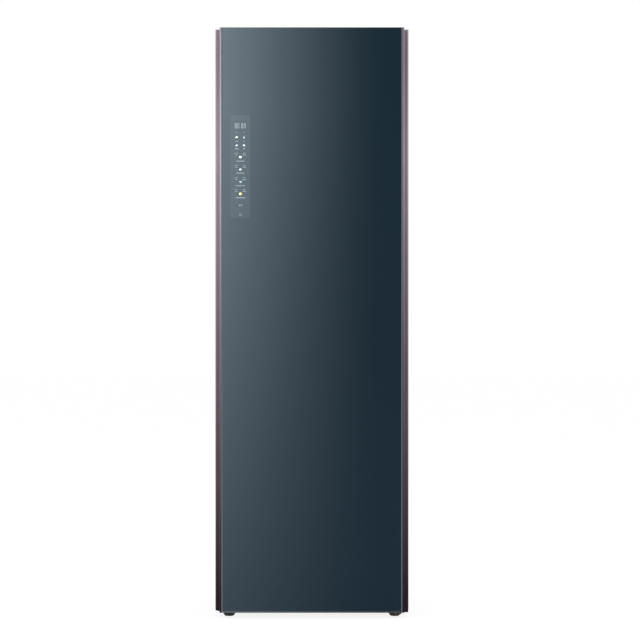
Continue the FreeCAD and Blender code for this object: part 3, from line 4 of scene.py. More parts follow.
import bmesh
import bpy
import numpy as np
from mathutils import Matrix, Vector

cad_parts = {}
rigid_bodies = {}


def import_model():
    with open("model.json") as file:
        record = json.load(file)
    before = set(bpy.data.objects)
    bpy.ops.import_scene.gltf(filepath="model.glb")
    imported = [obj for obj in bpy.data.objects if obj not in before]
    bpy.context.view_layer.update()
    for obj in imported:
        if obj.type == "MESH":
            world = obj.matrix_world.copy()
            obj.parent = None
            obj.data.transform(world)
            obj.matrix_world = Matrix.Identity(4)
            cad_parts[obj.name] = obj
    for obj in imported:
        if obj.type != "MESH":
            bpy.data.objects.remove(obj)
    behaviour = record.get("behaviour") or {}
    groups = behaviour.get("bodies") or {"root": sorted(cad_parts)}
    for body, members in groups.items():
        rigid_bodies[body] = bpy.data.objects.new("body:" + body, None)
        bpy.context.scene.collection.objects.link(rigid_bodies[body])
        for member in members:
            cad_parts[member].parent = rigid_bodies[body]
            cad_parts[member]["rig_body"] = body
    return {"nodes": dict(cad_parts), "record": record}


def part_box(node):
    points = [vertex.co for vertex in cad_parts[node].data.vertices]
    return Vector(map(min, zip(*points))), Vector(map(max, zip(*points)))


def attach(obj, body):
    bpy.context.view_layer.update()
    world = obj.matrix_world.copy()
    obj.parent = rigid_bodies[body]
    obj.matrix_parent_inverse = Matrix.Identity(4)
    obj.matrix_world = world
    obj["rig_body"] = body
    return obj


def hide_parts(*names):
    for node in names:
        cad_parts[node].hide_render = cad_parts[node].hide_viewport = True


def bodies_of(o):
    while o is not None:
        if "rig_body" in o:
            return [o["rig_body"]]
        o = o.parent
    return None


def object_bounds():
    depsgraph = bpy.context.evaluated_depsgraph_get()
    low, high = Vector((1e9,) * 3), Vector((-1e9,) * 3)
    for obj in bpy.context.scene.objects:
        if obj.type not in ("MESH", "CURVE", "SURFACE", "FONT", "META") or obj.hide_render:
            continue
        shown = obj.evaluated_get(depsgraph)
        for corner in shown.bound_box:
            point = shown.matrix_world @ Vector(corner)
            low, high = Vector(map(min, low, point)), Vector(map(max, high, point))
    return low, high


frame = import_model()
cad_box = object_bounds()

# Clothes care steam cabinet. Every node of the frame gets its finish here, and the finer
# pieces are worked out as numpy surfaces. Lengths are metres: X to the viewer's right,
# the door faces -Y, Z is up and the origin is the middle of the underside.
mm = 0.001
glass_low, glass_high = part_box("door_glass")


# ---------------------------------------- finishes
def paint(red, green, blue):
    """Linear colour of a paint given in 0 to 255 screen steps."""
    steps = np.array((red, green, blue)) / 255
    linear = np.where(steps <= 0.04045, steps / 12.92, ((steps + 0.055) / 1.055) ** 2.4)
    return (*linear.tolist(), 1.0)


def add_node(tree, kind, inputs=(), **settings):
    """A shader node with its settings, and numbers or links on its inputs."""
    made = tree.nodes.new(kind)
    for setting, choice in settings.items():
        setattr(made, setting, choice)
    for socket, given in dict(inputs).items():
        if isinstance(given, bpy.types.NodeSocket):
            tree.links.new(given, made.inputs[socket])
        else:
            made.inputs[socket].default_value = given
    return made


class Finish:
    """A material whose colour, roughness and relief follow patterns in Object coordinates."""

    def __init__(self, name, colour, rough, metal=0.0, sockets=()):
        self.material = bpy.data.materials.new(name)
        self.material.use_nodes = True
        self.tree = self.material.node_tree
        self.shader = self.tree.nodes["Principled BSDF"]
        self.shader.inputs["Base Color"].default_value = paint(*colour)
        self.shader.inputs["Roughness"].default_value = rough
        self.shader.inputs["Metallic"].default_value = metal
        for socket, number in dict(sockets).items():
            self.shader.inputs[socket].default_value = number
        self.place = self.node("ShaderNodeTexCoord").outputs["Object"]

    def node(self, kind, inputs=(), **settings):
        """A node of this material."""
        return add_node(self.tree, kind, inputs, **settings)

    def spread(self, repeats):
        """Object coordinates scaled so that a pattern repeats so often per metre along X, Y, Z."""
        return self.node("ShaderNodeMapping", {"Vector": self.place, "Scale": repeats}).outputs[0]

    def grain(self, repeats, detail=3.0, harsh=0.5):
        """Cloudy noise from 0 to 1, with its repeats per metre."""
        settings = {"Vector": self.spread(repeats), "Scale": 1.0, "Detail": detail,
                    "Roughness": harsh}
        return self.node("ShaderNodeTexNoise", settings).outputs[0]

    def cells(self, repeats):
        """Cells of a Voronoi pattern, with their repeats per metre."""
        settings = {"Vector": self.spread(repeats), "Scale": 1.0}
        return self.node("ShaderNodeTexVoronoi", settings)

    def level(self, axis, low, high):
        """0 at the low place of an axis, rising evenly to 1 at the high one."""
        split = self.node("ShaderNodeSeparateXYZ", {0: self.place})
        limits = {"Value": split.outputs[axis], "From Min": low, "From Max": high}
        return self.node("ShaderNodeMapRange", limits).outputs[0]

    def colour_by(self, pattern, *stops):
        """Base colour that runs through stops of (place, paint) as the pattern rises."""
        ramp = self.node("ShaderNodeValToRGB", {0: pattern})
        points = ramp.color_ramp.elements
        while len(points) < len(stops):
            points.new(0.5)
        for point, (place, colour) in zip(points, stops):
            point.position = place
            point.color = paint(*colour)
        self.tree.links.new(ramp.outputs[0], self.shader.inputs["Base Color"])

    def mottle(self, pattern, amount):
        """The base colour made up to that share darker and lighter by a pattern."""
        base = self.shader.inputs["Base Color"]
        limits = {"Value": pattern, "To Min": 1 - amount, "To Max": 1 + amount}
        shade = self.node("ShaderNodeMapRange", limits, clamp=False).outputs[0]
        mix = self.node("ShaderNodeVectorMath", {1: shade}, operation="MULTIPLY")
        if base.is_linked:
            self.tree.links.new(base.links[0].from_socket, mix.inputs[0])
        else:
            mix.inputs[0].default_value = base.default_value[:3]
        self.tree.links.new(mix.outputs[0], base)

    def rough_by(self, pattern, low, high):
        """Roughness between two values by a pattern."""
        limits = {"Value": pattern, "To Min": low, "To Max": high}
        gloss = self.node("ShaderNodeMapRange", limits).outputs[0]
        self.tree.links.new(gloss, self.shader.inputs["Roughness"])

    def relief_by(self, pattern, depth):
        """A relief of that depth in metres, over any relief that is there already."""
        normal = self.shader.inputs["Normal"]
        bump = self.node("ShaderNodeBump", {"Height": pattern, "Distance": depth, "Strength": 1.0})
        if normal.is_linked:
            self.tree.links.new(normal.links[0].from_socket, bump.inputs["Normal"])
        self.tree.links.new(bump.outputs[0], normal)


def mirror_glass():
    """Tinted mirror glass: a deep blue-green back coat under a bright polished face."""
    glass = Finish("tinted_mirror_glass", (29, 45, 55), 0.045, sockets={"IOR": 1.9})
    # The back coat is made slightly lighter towards the bottom of the pane.
    height = glass.level(2, glass_low.z, glass_high.z)
    glass.colour_by(height, (0.0, (36, 52, 64)), (0.45, (32, 48, 59)), (1.0, (30, 47, 57)))
    glass.mottle(glass.grain((3, 3, 2)), 0.03)
    glass.rough_by(glass.grain((35, 35, 20), 4), 0.03, 0.06)
    return glass


def anodised_with_painted_shade(name, top, middle, bottom, rough, bright=1.0):
    """Brushed anodised aluminium with painted light and shade: darker towards the floor as painted
    shade, lightest high up as a painted sheen.
    """
    metal = Finish(name, middle, rough, bright, {"Specular Tint": (0.45, 0.42, 0.44, 1),
                                                 "Specular IOR Level": 0.35})
    # Painted light and shade by height: the shaded bottom colour at the floor, the lit top colour
    # high up, and a slightly dimmer crown at the very top.
    height = metal.level(2, 0, cad_box[1][2])
    crown = tuple((tone + deeper) / 2 for tone, deeper in zip(top, middle))
    metal.colour_by(height, (0.03, bottom), (0.45, middle), (0.79, top), (0.95, crown))
    brushed = metal.grain((2600, 2600, 9), 4, 0.6)
    metal.mottle(brushed, 0.13)
    metal.rough_by(brushed, rough - 0.08, rough + 0.1)
    metal.relief_by(brushed, 0.02 * mm)
    return metal


def painted_steel():
    """Mauve-grey powder coat with a fine orange peel and a faint pearl."""
    coat = Finish("mauve_powder_coat", (104, 92, 98), 0.42, sockets={"Coat Weight": 0.15})
    coat.mottle(coat.grain((900, 900, 900), 2), 0.06)
    coat.mottle(coat.grain((1.5, 1.5, 1.1)), 0.05)
    coat.rough_by(coat.grain((14, 14, 14), 4), 0.36, 0.48)
    coat.relief_by(coat.grain((420, 420, 420), 2), 0.03 * mm)
    return coat


def galvanised():
    """Zinc-coated steel: flat crystals that differ only slightly, under a cloudy dull film."""
    zinc = Finish("galvanised_steel", (150, 153, 156), 0.42, metal=0.75)
    crystals = zinc.cells((70, 70, 70))
    split = zinc.node("ShaderNodeSeparateColor", {0: crystals.outputs["Color"]})
    zinc.colour_by(split.outputs[0], (0.0, (148, 151, 154)), (1.0, (156, 159, 161)))
    zinc.rough_by(split.outputs[1], 0.38, 0.46)
    zinc.mottle(zinc.grain((3, 3, 2)), 0.05)
    zinc.relief_by(zinc.grain((260, 260, 260), 3), 0.02 * mm)
    return zinc


def moulded(name, colour, rough, peel=0.04, pitch=700, spread=0.05, sockets=()):
    """Moulded plastic: a fine spark grain, a soft drift of tone and uneven gloss."""
    plastic = Finish(name, colour, rough, sockets=sockets)
    plastic.mottle(plastic.grain((7, 7, 7), 4), spread)
    plastic.rough_by(plastic.grain((40, 40, 40), 3), rough - 0.06, rough + 0.07)
    plastic.relief_by(plastic.grain((pitch, pitch, pitch), 2), peel * mm)
    return plastic


def rubber():
    """Black rubber, dull with a faint bloom."""
    soft = moulded("black_rubber", (26, 26, 28), 0.72, 0.05, 900, 0.12,
                   {"Specular IOR Level": 0.35})
    soft.mottle(soft.grain((60, 60, 60), 5, 0.7), 0.2)
    return soft


def foam():
    """Rigid cream foam with small open bubbles."""
    cream = Finish("rigid_foam", (222, 212, 184), 0.85)
    bubbles = cream.cells((420, 420, 420)).outputs["Distance"]
    cream.mottle(cream.grain((18, 18, 18), 4), 0.08)
    # The bubble hollows are painted darker than their rims: painted shade in the pits.
    cream.mottle(bubbles, 0.1)
    cream.relief_by(bubbles, 0.5 * mm)
    return cream


def brushed_steel():
    """Stainless steel with long fine polishing lines."""
    steel = Finish("brushed_stainless", (196, 198, 200), 0.24, metal=1.0)
    lines = steel.grain((30, 2400, 2400), 3, 0.6)
    steel.mottle(lines, 0.07)
    steel.rough_by(lines, 0.18, 0.34)
    steel.relief_by(lines, 0.01 * mm)
    return steel


def finned():
    """Bare aluminium fin stock with a slight blue coating that wears in patches."""
    fin = Finish("coated_fin_stock", (176, 186, 194), 0.34, metal=0.9)
    fin.mottle(fin.grain((30, 30, 30), 5), 0.14)
    fin.rough_by(fin.grain((80, 80, 80)), 0.26, 0.46)
    return fin


def copper_tube():
    """Copper tube with brown tarnish in patches."""
    copper = Finish("copper_tube", (190, 112, 78), 0.3, metal=1.0)
    copper.colour_by(copper.grain((45, 45, 45), 5), (0.3, (128, 70, 48)), (0.52, (190, 112, 78)),
                     (0.75, (214, 140, 104)))
    copper.rough_by(copper.grain((90, 90, 90), 4), 0.2, 0.45)
    return copper


def circuit_board():
    """Dark moulded module with a close pattern of printed lines."""
    board = Finish("display_board", (38, 52, 58), 0.5)
    board.mottle(board.grain((400, 6, 90), 1), 0.2)
    board.relief_by(board.grain((300, 300, 60), 1), 0.05 * mm)
    return board


def lamp_lens():
    """Frosted lamp lens with a soft light of its own."""
    glow = {"Emission Color": paint(255, 247, 232), "Emission Strength": 1.2}
    lens = moulded("frosted_lamp_lens", (232, 236, 238), 0.5, 0.05, 500, 0.02, glow)
    lens.relief_by(lens.grain((4, 260, 260), 0), 0.1 * mm)
    return lens


FINISHES = {
    "dark_glass": mirror_glass(),
    # Each anodised finish is given a lit top colour, a middle colour and a shaded bottom colour.
    # This is painted light and shade: strong on the door edges and wings, slight on the silver
    # trim.
    "door_edge": anodised_with_painted_shade("door_edge_anodised", (168, 161, 166), (124, 117, 122), (54, 46, 52),
                          0.3),
    "silver_trim": anodised_with_painted_shade("silver_anodised", (138, 144, 148), (134, 140, 144),
                            (130, 137, 141), 0.28),
    "wing_trim": anodised_with_painted_shade("mauve_anodised", (178, 164, 169), (138, 123, 128), (58, 44, 52), 0.42,
                          0.3),
    "casing_paint": painted_steel(),
    "zinc_sheet": galvanised(),
    "black_plastic": moulded("black_plastic", (14, 14, 16), 0.5, 0.08, 600, 0.1,
                             {"Specular IOR Level": 0.3}),
    "black_rubber": rubber(),
    "foam": foam(),
    "white_liner": moulded("white_liner", (226, 228, 229), 0.33, 0.03, 350, 0.015),
    "grey_liner": moulded("pale_grey_liner", (186, 190, 193), 0.38, 0.03, 350, 0.02),
    "steel": brushed_steel(),
    "rail_plastic": moulded("rail_plastic", (112, 113, 118), 0.42, 0.05, 500, 0.04),
    "hanger_plastic": moulded("hanger_plastic", (86, 83, 86), 0.4, 0.05, 500, 0.05),
    "lamp_lens": lamp_lens(),
    "tank_clear": moulded("clear_tank", (170, 190, 200), 0.16, 0.02, 120, 0.03,
                          {"Alpha": 1.0, "Transmission Weight": 0.35, "IOR": 1.49}),
    "tank_grey": moulded("smoke_tank", (108, 114, 120), 0.2, 0.02, 120, 0.04),
    "coil_fin": finned(),
    "copper": copper_tube(),
    "compressor_black": moulded("compressor_enamel", (38, 38, 41), 0.3, 0.06, 220, 0.1,
                                {"Coat Weight": 0.4}),
    "duct_plastic": moulded("duct_plastic", (132, 136, 141), 0.48, 0.06, 500, 0.05),
    "module_board": circuit_board(),
    "hose_grey": moulded("hose_rubber", (128, 130, 132), 0.5, 0.05, 500, 0.06),
}

slot_of = {row["node"]: row["material_slot"] for row in frame["record"]["subparts"]}
body_of = {node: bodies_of(piece)[0] for node, piece in frame["nodes"].items()}
for node, piece in frame["nodes"].items():
    piece.data.materials.clear()
    piece.data.materials.append(FINISHES[slot_of[node]].material)


# ---------------------------------------- surfaces
def around(count):
    """Angles of so many even steps round a full turn."""
    return np.linspace(0, 2 * math.pi, count, endpoint=False)


def circle(angles):
    """Points of the unit circle at those angles."""
    return np.stack((np.cos(angles), np.sin(angles)), axis=-1)


def surface(name, grids, body, slot, finish=None, ring=False, angle=35):
    """A mesh over one or more grids of points[v, u]: u runs round each row, v from row to row.

    Each grid square is one face. A ring's last row joins its first one, and any other grid is
    closed by flat caps on both.
    """
    grids = [grids] if isinstance(grids, np.ndarray) else grids
    faces = []
    start = 0
    for points in grids:
        rows, columns = points.shape[:2]
        spots = start + np.arange(rows * columns).reshape(rows, columns)
        start += rows * columns
        caps = [] if ring else [spots[0][::-1].tolist(), spots[-1].tolist()]
        spots = np.concatenate((spots, spots[:, :1]), axis=1)
        if ring:
            spots = np.concatenate((spots, spots[:1]), axis=0)
        quads = np.stack((spots[:-1, :-1], spots[:-1, 1:], spots[1:, 1:], spots[1:, :-1]), axis=-1)
        faces += quads.reshape(-1, 4).tolist() + caps
    spots = np.concatenate([points.reshape(-1, 3) for points in grids])
    return settle(name, spots, faces, body, slot, finish, angle)


def settle(name, points, faces, body, slot, finish=None, angle=35):
    """A mesh object from points and faces, all of them facing outwards."""
    mesh = bpy.data.meshes.new(name)
    mesh.from_pydata(np.asarray(points).tolist(), [], faces)
    work = bmesh.new()
    work.from_mesh(mesh)
    bmesh.ops.recalc_face_normals(work, faces=work.faces)
    work.to_mesh(mesh)
    work.free()
    return place_mesh(name, mesh, body, slot, finish, angle)


def new_object(name, data):
    """An object for a mesh, a lamp or a camera, linked to the scene."""
    made = bpy.data.objects.new(name, data)
    bpy.context.scene.collection.objects.link(made)
    return made


def place_mesh(name, mesh, body, slot, finish, angle):
    """An object for a finished mesh: smooth up to that angle, riding on a body, in the finish
    of its slot unless it is given another."""
    mesh.shade_smooth()
    mesh.set_sharp_from_angle(angle=math.radians(angle))
    mesh.materials.clear()
    mesh.materials.append((finish or FINISHES[slot]).material)
    made = new_object(name, mesh)
    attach(made, body)
    return made


def round_edges(made, width):
    """Rounds a piece's sharp edges over by a width."""
    bevel = made.modifiers.new("rounded_edges", "BEVEL")
    bevel.width = width
    bevel.segments = 2
    bevel.limit_method = "ANGLE"
    bevel.angle_limit = math.radians(30)
    bevel.harden_normals = True


def eased(node, width, angle):
    """A CAD node's own shape with its doubles merged and its sharp edges rounded over."""
    work = bmesh.new()
    work.from_mesh(frame["nodes"][node].data)
    bmesh.ops.remove_doubles(work, verts=work.verts, dist=0.002 * mm)
    bmesh.ops.dissolve_limit(work, angle_limit=math.radians(0.3), verts=work.verts,
                             edges=work.edges)
    mesh = bpy.data.meshes.new(node + "_eased")
    work.to_mesh(mesh)
    work.free()
    made = place_mesh(node + "_eased", mesh, body_of[node], slot_of[node], None, angle)
    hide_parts(node)
    if width:
        round_edges(made, width)


def rounded_outline(half_x, half_z, radius, steps=6):
    """Outline of a rounded rectangle about its middle: four quarter arcs, one after another."""
    turn = np.linspace(0, math.pi / 2, steps + 1)
    angle = np.concatenate([turn + quarter * math.pi / 2 for quarter in range(4)])
    side_x = np.repeat((1, -1, -1, 1), steps + 1) * (half_x - radius)
    side_z = np.repeat((1, 1, -1, -1), steps + 1) * (half_z - radius)
    return np.stack((side_x, side_z), axis=-1) + radius * circle(angle)


def plate(name, outline, middle, levels, body, slot, finish=None, angle=35):
    """An outline in X and Z carried along Y: one row for every (share of its size, y) level."""
    rows = np.empty((len(levels), len(outline), 3))
    for row, (share, y) in zip(rows, levels):
        row[:, (0, 2)] = middle + outline * share
        row[:, 1] = y
    surface(name, rows, body, slot, finish, angle=angle)


def frames(rows, steps=8):
    """Rounded rectangles in X and Z, one for every (low corner, high corner, radius, y)."""
    points = np.empty((len(rows), 4 * (steps + 1), 3))
    for row, (low, high, radius, y) in zip(points, rows):
        half = (np.array(high) - low) / 2
        row[:, (0, 2)] = (np.array(high) + low) / 2 + rounded_outline(*half, radius, steps)
        row[:, 1] = y
    return points


def inset_frames(low, high, radius, profile, steps=8):
    """One rounded rectangle drawn in by each (inset, y) of a profile."""
    low, high = np.array(low), np.array(high)
    return frames([(low + inset, high - inset, max(radius - inset, 0.1 * mm), y)
                   for inset, y in profile], steps)


def turned(profile, middle, axis, steps, wave=None):
    """A profile of (radius, place along the axis) turned about an axis through a point.

    The wave, if given, is the factor on every radius at each step of the turn.
    """
    profile = np.array(profile)
    turn = around(steps)
    swell = 1 if wave is None else wave(turn)
    spread = profile[:, :1] * swell
    along = np.broadcast_to(profile[:, 1:], (len(profile), steps))
    parts = {"x": (along, spread * np.cos(turn), spread * np.sin(turn)),
             "y": (spread * np.cos(turn), along, spread * np.sin(turn)),
             "z": (spread * np.cos(turn), spread * np.sin(turn), along)}[axis]
    return np.stack(parts, axis=-1) + np.array(middle)


def route(corners, bend, steps=8):
    """A path through corners: straight runs joined by parabolas that start a bend away."""
    corners = np.array(corners, float)
    share = np.linspace(0, 1, steps + 1)[:, None]
    path = [corners[:1]]
    for before, corner, after in zip(corners, corners[1:], corners[2:]):
        start = corner + (before - corner) / np.linalg.norm(before - corner) * bend
        stop = corner + (after - corner) / np.linalg.norm(after - corner) * bend
        path.append((1 - share) ** 2 * start + 2 * share * (1 - share) * corner
                    + share ** 2 * stop)
    return np.concatenate((*path, corners[-1:]))


def wire(path, radius, side, sides=10):
    """A round wire: a circle carried along a flat path, square to it, one direction kept."""
    path = np.array(path, float)
    along = np.gradient(path, axis=0)
    along /= np.linalg.norm(along, axis=1, keepdims=True)
    side = np.broadcast_to(np.array(side, float), path.shape)
    up = np.cross(along, side)
    turn = around(sides)[None, :, None]
    ring = np.cos(turn) * side[:, None] + np.sin(turn) * up[:, None]
    return path[:, None] + ring * radius


def blocks(name, lows, highs, body, slot, finish=None, ease=0.0):
    """Plain blocks in one mesh between rows of low and high corners, edges eased if asked."""
    lows, highs = np.array(lows), np.array(highs)
    pick = np.array([(i & 1, i >> 1 & 1, i >> 2 & 1) for i in range(8)])
    points = np.where(pick[None] == 1, highs[:, None], lows[:, None])
    one = np.array(((0, 2, 3, 1), (4, 5, 7, 6), (0, 1, 5, 4), (2, 6, 7, 3), (0, 4, 6, 2),
                    (1, 3, 7, 5)))
    faces = (np.arange(len(lows))[:, None, None] * 8 + one[None]).reshape(-1, 4)
    made = settle(name, points.reshape(-1, 3), faces.tolist(), body, slot, finish)
    if ease:
        round_edges(made, ease)


# ---------------------------------------- front glass and display
face_y = glass_low.y + 0.2 * mm


def front_glass():
    """The pane with eased edges, and the pale ground strip down each of its long sides.

    A strip is one closed profile in X and Y, the same at the bottom and the top of the pane.
    """
    ground, thick = 3.1 * mm, 3.8 * mm
    low, high = (glass_low.x + ground, glass_low.z), (glass_high.x - ground, glass_high.z)
    pane = inset_frames(low, high, 0.4 * mm, (
        (0.5 * mm, face_y), (0.1 * mm, face_y), (0, face_y + 0.3 * mm), (0, glass_high.y)), 3)
    glass = surface("front_glass", pane, "door", "dark_glass")
    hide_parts("door_glass")
    profile = np.array(((ground, 0.1 * mm), (ground - 0.5 * mm, 0), (0.5 * mm, 0.1 * mm),
                        (0, 0.6 * mm), (0, thick), (ground, thick)))
    strips = []
    for edge, inwards in ((glass_low.x, 1), (glass_high.x, -1)):
        strip = np.empty((2, len(profile), 3))
        strip[..., 0] = edge + inwards * profile[:, 0]
        strip[..., 1] = face_y + profile[:, 1]
        strip[..., 2] = np.array((glass_low.z, glass_high.z))[:, None]
        strips.append(strip)
    pale = Finish("ground_glass_edge", (106, 110, 117), 0.35, sockets={"Specular IOR Level": 0.3})
    # The strip is painted darker towards the top: painted shade that tones down the bright
    # reflection of the studio card there.
    height = pale.level(2, glass_low.z, glass_high.z)
    pale.colour_by(height, (0.0, (118, 121, 129)), (0.4, (108, 111, 118)), (1.0, (96, 99, 106)))
    pale.mottle(pale.grain((500, 500, 40), 3), 0.05)
    surface("glass_edge_strips", strips, "door", "dark_glass", pale)


front_glass()

# Lit signs stand a hair proud of the glass, still behind the front of the door trims. They
# are placed in millimetres, about the upright middle line of the touch area.
sign_back = face_y + 0.02 * mm
sign_front = face_y - 0.12 * mm
PANEL_X = -220.4


def lit(name, colour, strength):
    """Ink that shines through the glass, with a faint print texture."""
    glow = {"Emission Color": paint(*colour), "Emission Strength": strength}
    ink = Finish(name, colour, 0.4, sockets=glow)
    ink.mottle(ink.grain((900, 900, 900), 2), 0.06)
    return ink


SIGN_WHITE = lit("sign_white", (238, 242, 246), 0.75)
SIGN_WARM = lit("sign_warm_white", (238, 248, 228), 0.7)
SIGN_BLUE = lit("sign_pale_blue", (178, 202, 216), 0.36)
SIGN_YELLOW = lit("sign_yellow", (248, 246, 182), 0.72)
SIGN_GLOW = lit("sign_yellow_halo", (150, 152, 92), 0.2)
SIGN_DIM = lit("sign_dim_grey", (156, 166, 172), 0.34)
SIGN_DIGIT = lit("sign_digit_grey", (174, 188, 188), 0.42)
SIGN_LABEL = lit("sign_label_grey", (164, 174, 182), 0.42)


def display_window():
    """The slightly paler touch area of the pane: a thin rounded plate."""
    area = Finish("touch_area_glass", (53, 67, 75), 0.06, sockets={"IOR": 1.9})
    area.mottle(area.grain((30, 30, 12)), 0.04)
    area.rough_by(area.grain((60, 60, 60)), 0.05, 0.09)
    half_wide, half_tall, middle_z, corner = 30.2, 158.3, 1396.3, 2
    outline = rounded_outline(half_wide, half_tall, corner) * mm
    levels = ((1, face_y + 0.1 * mm), (1, face_y - 0.05 * mm))
    plate("display_window", outline, (PANEL_X * mm, middle_z * mm), levels, "door", "dark_glass",
          area)


def sign(name, outline, x, z, ink, reach=1.0):
    """One small sign: its outline in millimetres about its middle, raised off the glass."""
    levels = ((1, sign_back), (1, sign_front))
    plate(name, outline * mm * reach, (x * mm, z * mm), levels, "door", "module_board", ink)


def lobes(circles, floor):
    """Outline of merged circles (x, z, radius) seen from the middle, cut flat at the floor.

    For each angle it is the farthest of the circles' edges, and no lower than the floor.
    """
    way = circle(around(72))
    rings = np.array(circles, float)
    along = way @ rings[:, :2].T
    across = way[:, :1] * rings[:, 1] - way[:, 1:] * rings[:, 0]
    inside = rings[:, 2] ** 2 - across ** 2
    reach = np.where(inside > 0, along + np.sqrt(np.maximum(inside, 0)), 0).max(axis=1)
    to_floor = floor / np.maximum(-way[:, 1], 0.01)
    return way * np.minimum(reach, to_floor)[:, None]


def heart(size):
    """Heart outline: x is the cube of a sine, z a sum of four cosines, 32 units across."""
    turn = around(64)
    x = 16 * np.sin(turn) ** 3
    z = 13 * np.cos(turn) - 5 * np.cos(2 * turn) - 2 * np.cos(3 * turn) - np.cos(4 * turn)
    return np.stack((-x, z), axis=-1) * size / 32


def drop(size):
    """Water drop: its height is the cosine of a turn, and its width the sine of the turn
    times the power 1.5 of the sine of half the turn."""
    turn = around(48)
    x = np.sin(turn) * np.sin(turn / 2) ** 1.5
    return np.stack((-x, np.cos(turn)), axis=-1) * size / 2


def bars(name, rows, ink):
    """Flat bars in one mesh, each given by its middle x and z, width and height in millimetres."""
    middle, half = np.array(rows)[:, :2] * mm, np.array(rows)[:, 2:] * mm / 2
    blocks(name, np.insert(middle - half, 1, sign_front, axis=1),
           np.insert(middle + half, 1, sign_back, axis=1), "door", "module_board", ink)


def label(x, z, width, height, seed):
    """A row of short bars that reads as a label from afar, without any letters."""
    gap, most = 0.7, 40
    widths = np.random.default_rng(seed).uniform(1.2, 2.4, most)
    ends = np.cumsum(widths + gap)
    ends = ends[ends <= width] - gap
    left = x - ends[-1] / 2
    return [(left + end - wide / 2, z, wide, height) for end, wide in zip(ends, widths)]


def oval(x, z, wide, tall):
    """Flat oval ring: an ellipse and one inside it, smaller by the stroke all round."""
    stroke = 1.15
    way = circle(around(40))
    half = np.array((wide, tall)) / 2
    rows = np.empty((4, len(way), 3))
    levels = (sign_back, sign_front, sign_front, sign_back)
    for row, size, level in zip(rows, (half, half, half - stroke, half - stroke), levels):
        row[:, (0, 2)] = (np.array((x, z)) + way * size) * mm
        row[:, 1] = level
    return rows


def display_signs():
    """All signs of the touch area, from the top down: each 8 is two ovals, each 0 is one."""
    level = 1521.6
    rings = []
    for x in (-234.8, -215.0):
        rings += [oval(x, level + 4.3, 4.8, 7.8), oval(x, level - 4.1, 5.8, 8.8)]
    rings += [oval(x, level, 5.8, 16.8) for x in (-226.8, -207.2)]
    surface("display_digits", rings, "door", "module_board", SIGN_DIGIT, ring=True)
    cloud = lobes(((-2.4, 0, 2.3), (0.3, 1.0, 3.0), (2.7, -0.1, 2.0)), 2.0)
    sign("sign_cloud", cloud, -232, 1485.6, SIGN_WHITE, 0.86)
    sign("sign_drop", drop(7.5), -209.4, 1485.9, SIGN_BLUE)
    leaf = lobes(((-1.2, -0.8, 2.6), (1.2, 0.8, 2.6)), 4)
    sign("sign_leaf_left", leaf, -232, 1461, SIGN_WHITE, 0.8)
    sign("sign_leaf_right", leaf * (-1, 1), -209.2, 1461, SIGN_WHITE, 0.82)
    sign("sign_heart", heart(8.6), PANEL_X, 1424.6, SIGN_WARM)
    shirt = lobes(((-2.2, -0.4, 2.6), (0, 1.0, 3.3), (2.2, -0.4, 2.6)), 2.8)
    sign("sign_shirt", shirt, -220.6, 1386.4, SIGN_WHITE, 0.76)
    sign("sign_care", heart(7.8), -219.8, 1348.3, SIGN_BLUE)
    dot_z, dot, near, far = 1311.7, 3.5, 3.7, 5.4
    sign("sign_dot", circle(around(72)) * dot, PANEL_X, dot_z, SIGN_YELLOW)
    halo = np.array(((near, sign_back), (near, sign_front), (far, sign_front), (far, sign_back)))
    ring = turned(halo * (mm, 1), (PANEL_X * mm, 0, dot_z * mm), "y", 40)
    surface("sign_dot_halo", ring, "door", "module_board", SIGN_GLOW, ring=True)


def display_labels():
    """The small printed rows beside and under the signs."""
    rows = []
    for seed, (x, z, width, height) in enumerate((
        (-232, 1500.6, 6, 1.7), (-209, 1500.6, 5, 1.7), (-231.6, 1473.8, 9, 2.0),
        (-209, 1473.8, 7, 2.0), (-231.6, 1450.7, 13, 3.0), (-209, 1450.7, 7, 2.8),
        (PANEL_X, 1412.6, 29, 2.3), (PANEL_X, 1375.6, 26, 2.2), (PANEL_X, 1336.6, 31, 2.3),
        (PANEL_X, 1299.6, 31, 2.6),
    )):
        rows += label(x, z, width, height, seed)
    for group, level in enumerate((1424.2, 1386.6, 1348.1, 1311.7)):
        for line, up in enumerate((13, 7.2)):
            rows += label(-233.4, level + up, 12 - 3 * line, 1.5, 20 + 4 * group + line)
            rows += label(-208.4, level + up, 9 + 4 * line, 1.9, 40 + 4 * group + line)
    bars("display_labels", rows, SIGN_LABEL)


def display_keys():
    """Start key: two bars and a triangle. Power key: an open ring with a bar in its gap."""
    start_z, power_z = 1276.6, 1247.6
    bars("start_key_bars", [(-218.4, start_z, 1.2, 5.6), (-216.2, start_z, 1.2, 5.6)], SIGN_DIM)
    triangle = np.array(((-2.1, 2.8), (-2.1, -2.8), (2.2, 0)))
    sign("start_key_arrow", triangle, -222.4, start_z, SIGN_DIM)
    way = circle(np.linspace(math.radians(-235), math.radians(55), 40))
    ring = np.concatenate((way * 3.6, way[::-1] * 2.7))
    sign("power_key_ring", ring, PANEL_X, power_z, SIGN_DIM)
    bars("power_key_bar", [(PANEL_X, power_z + 2.8, 0.9, 3.4)], SIGN_DIM)


display_window()
display_signs()
display_labels()
display_keys()


# ---------------------------------------- door and front frame
collar_low, collar_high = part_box("front_collar")
roof_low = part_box("liner_ceiling")[0]
floor_low, floor_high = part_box("liner_floor")
bay_low, bay_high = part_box("tank_bay")
room_half = floor_high.x


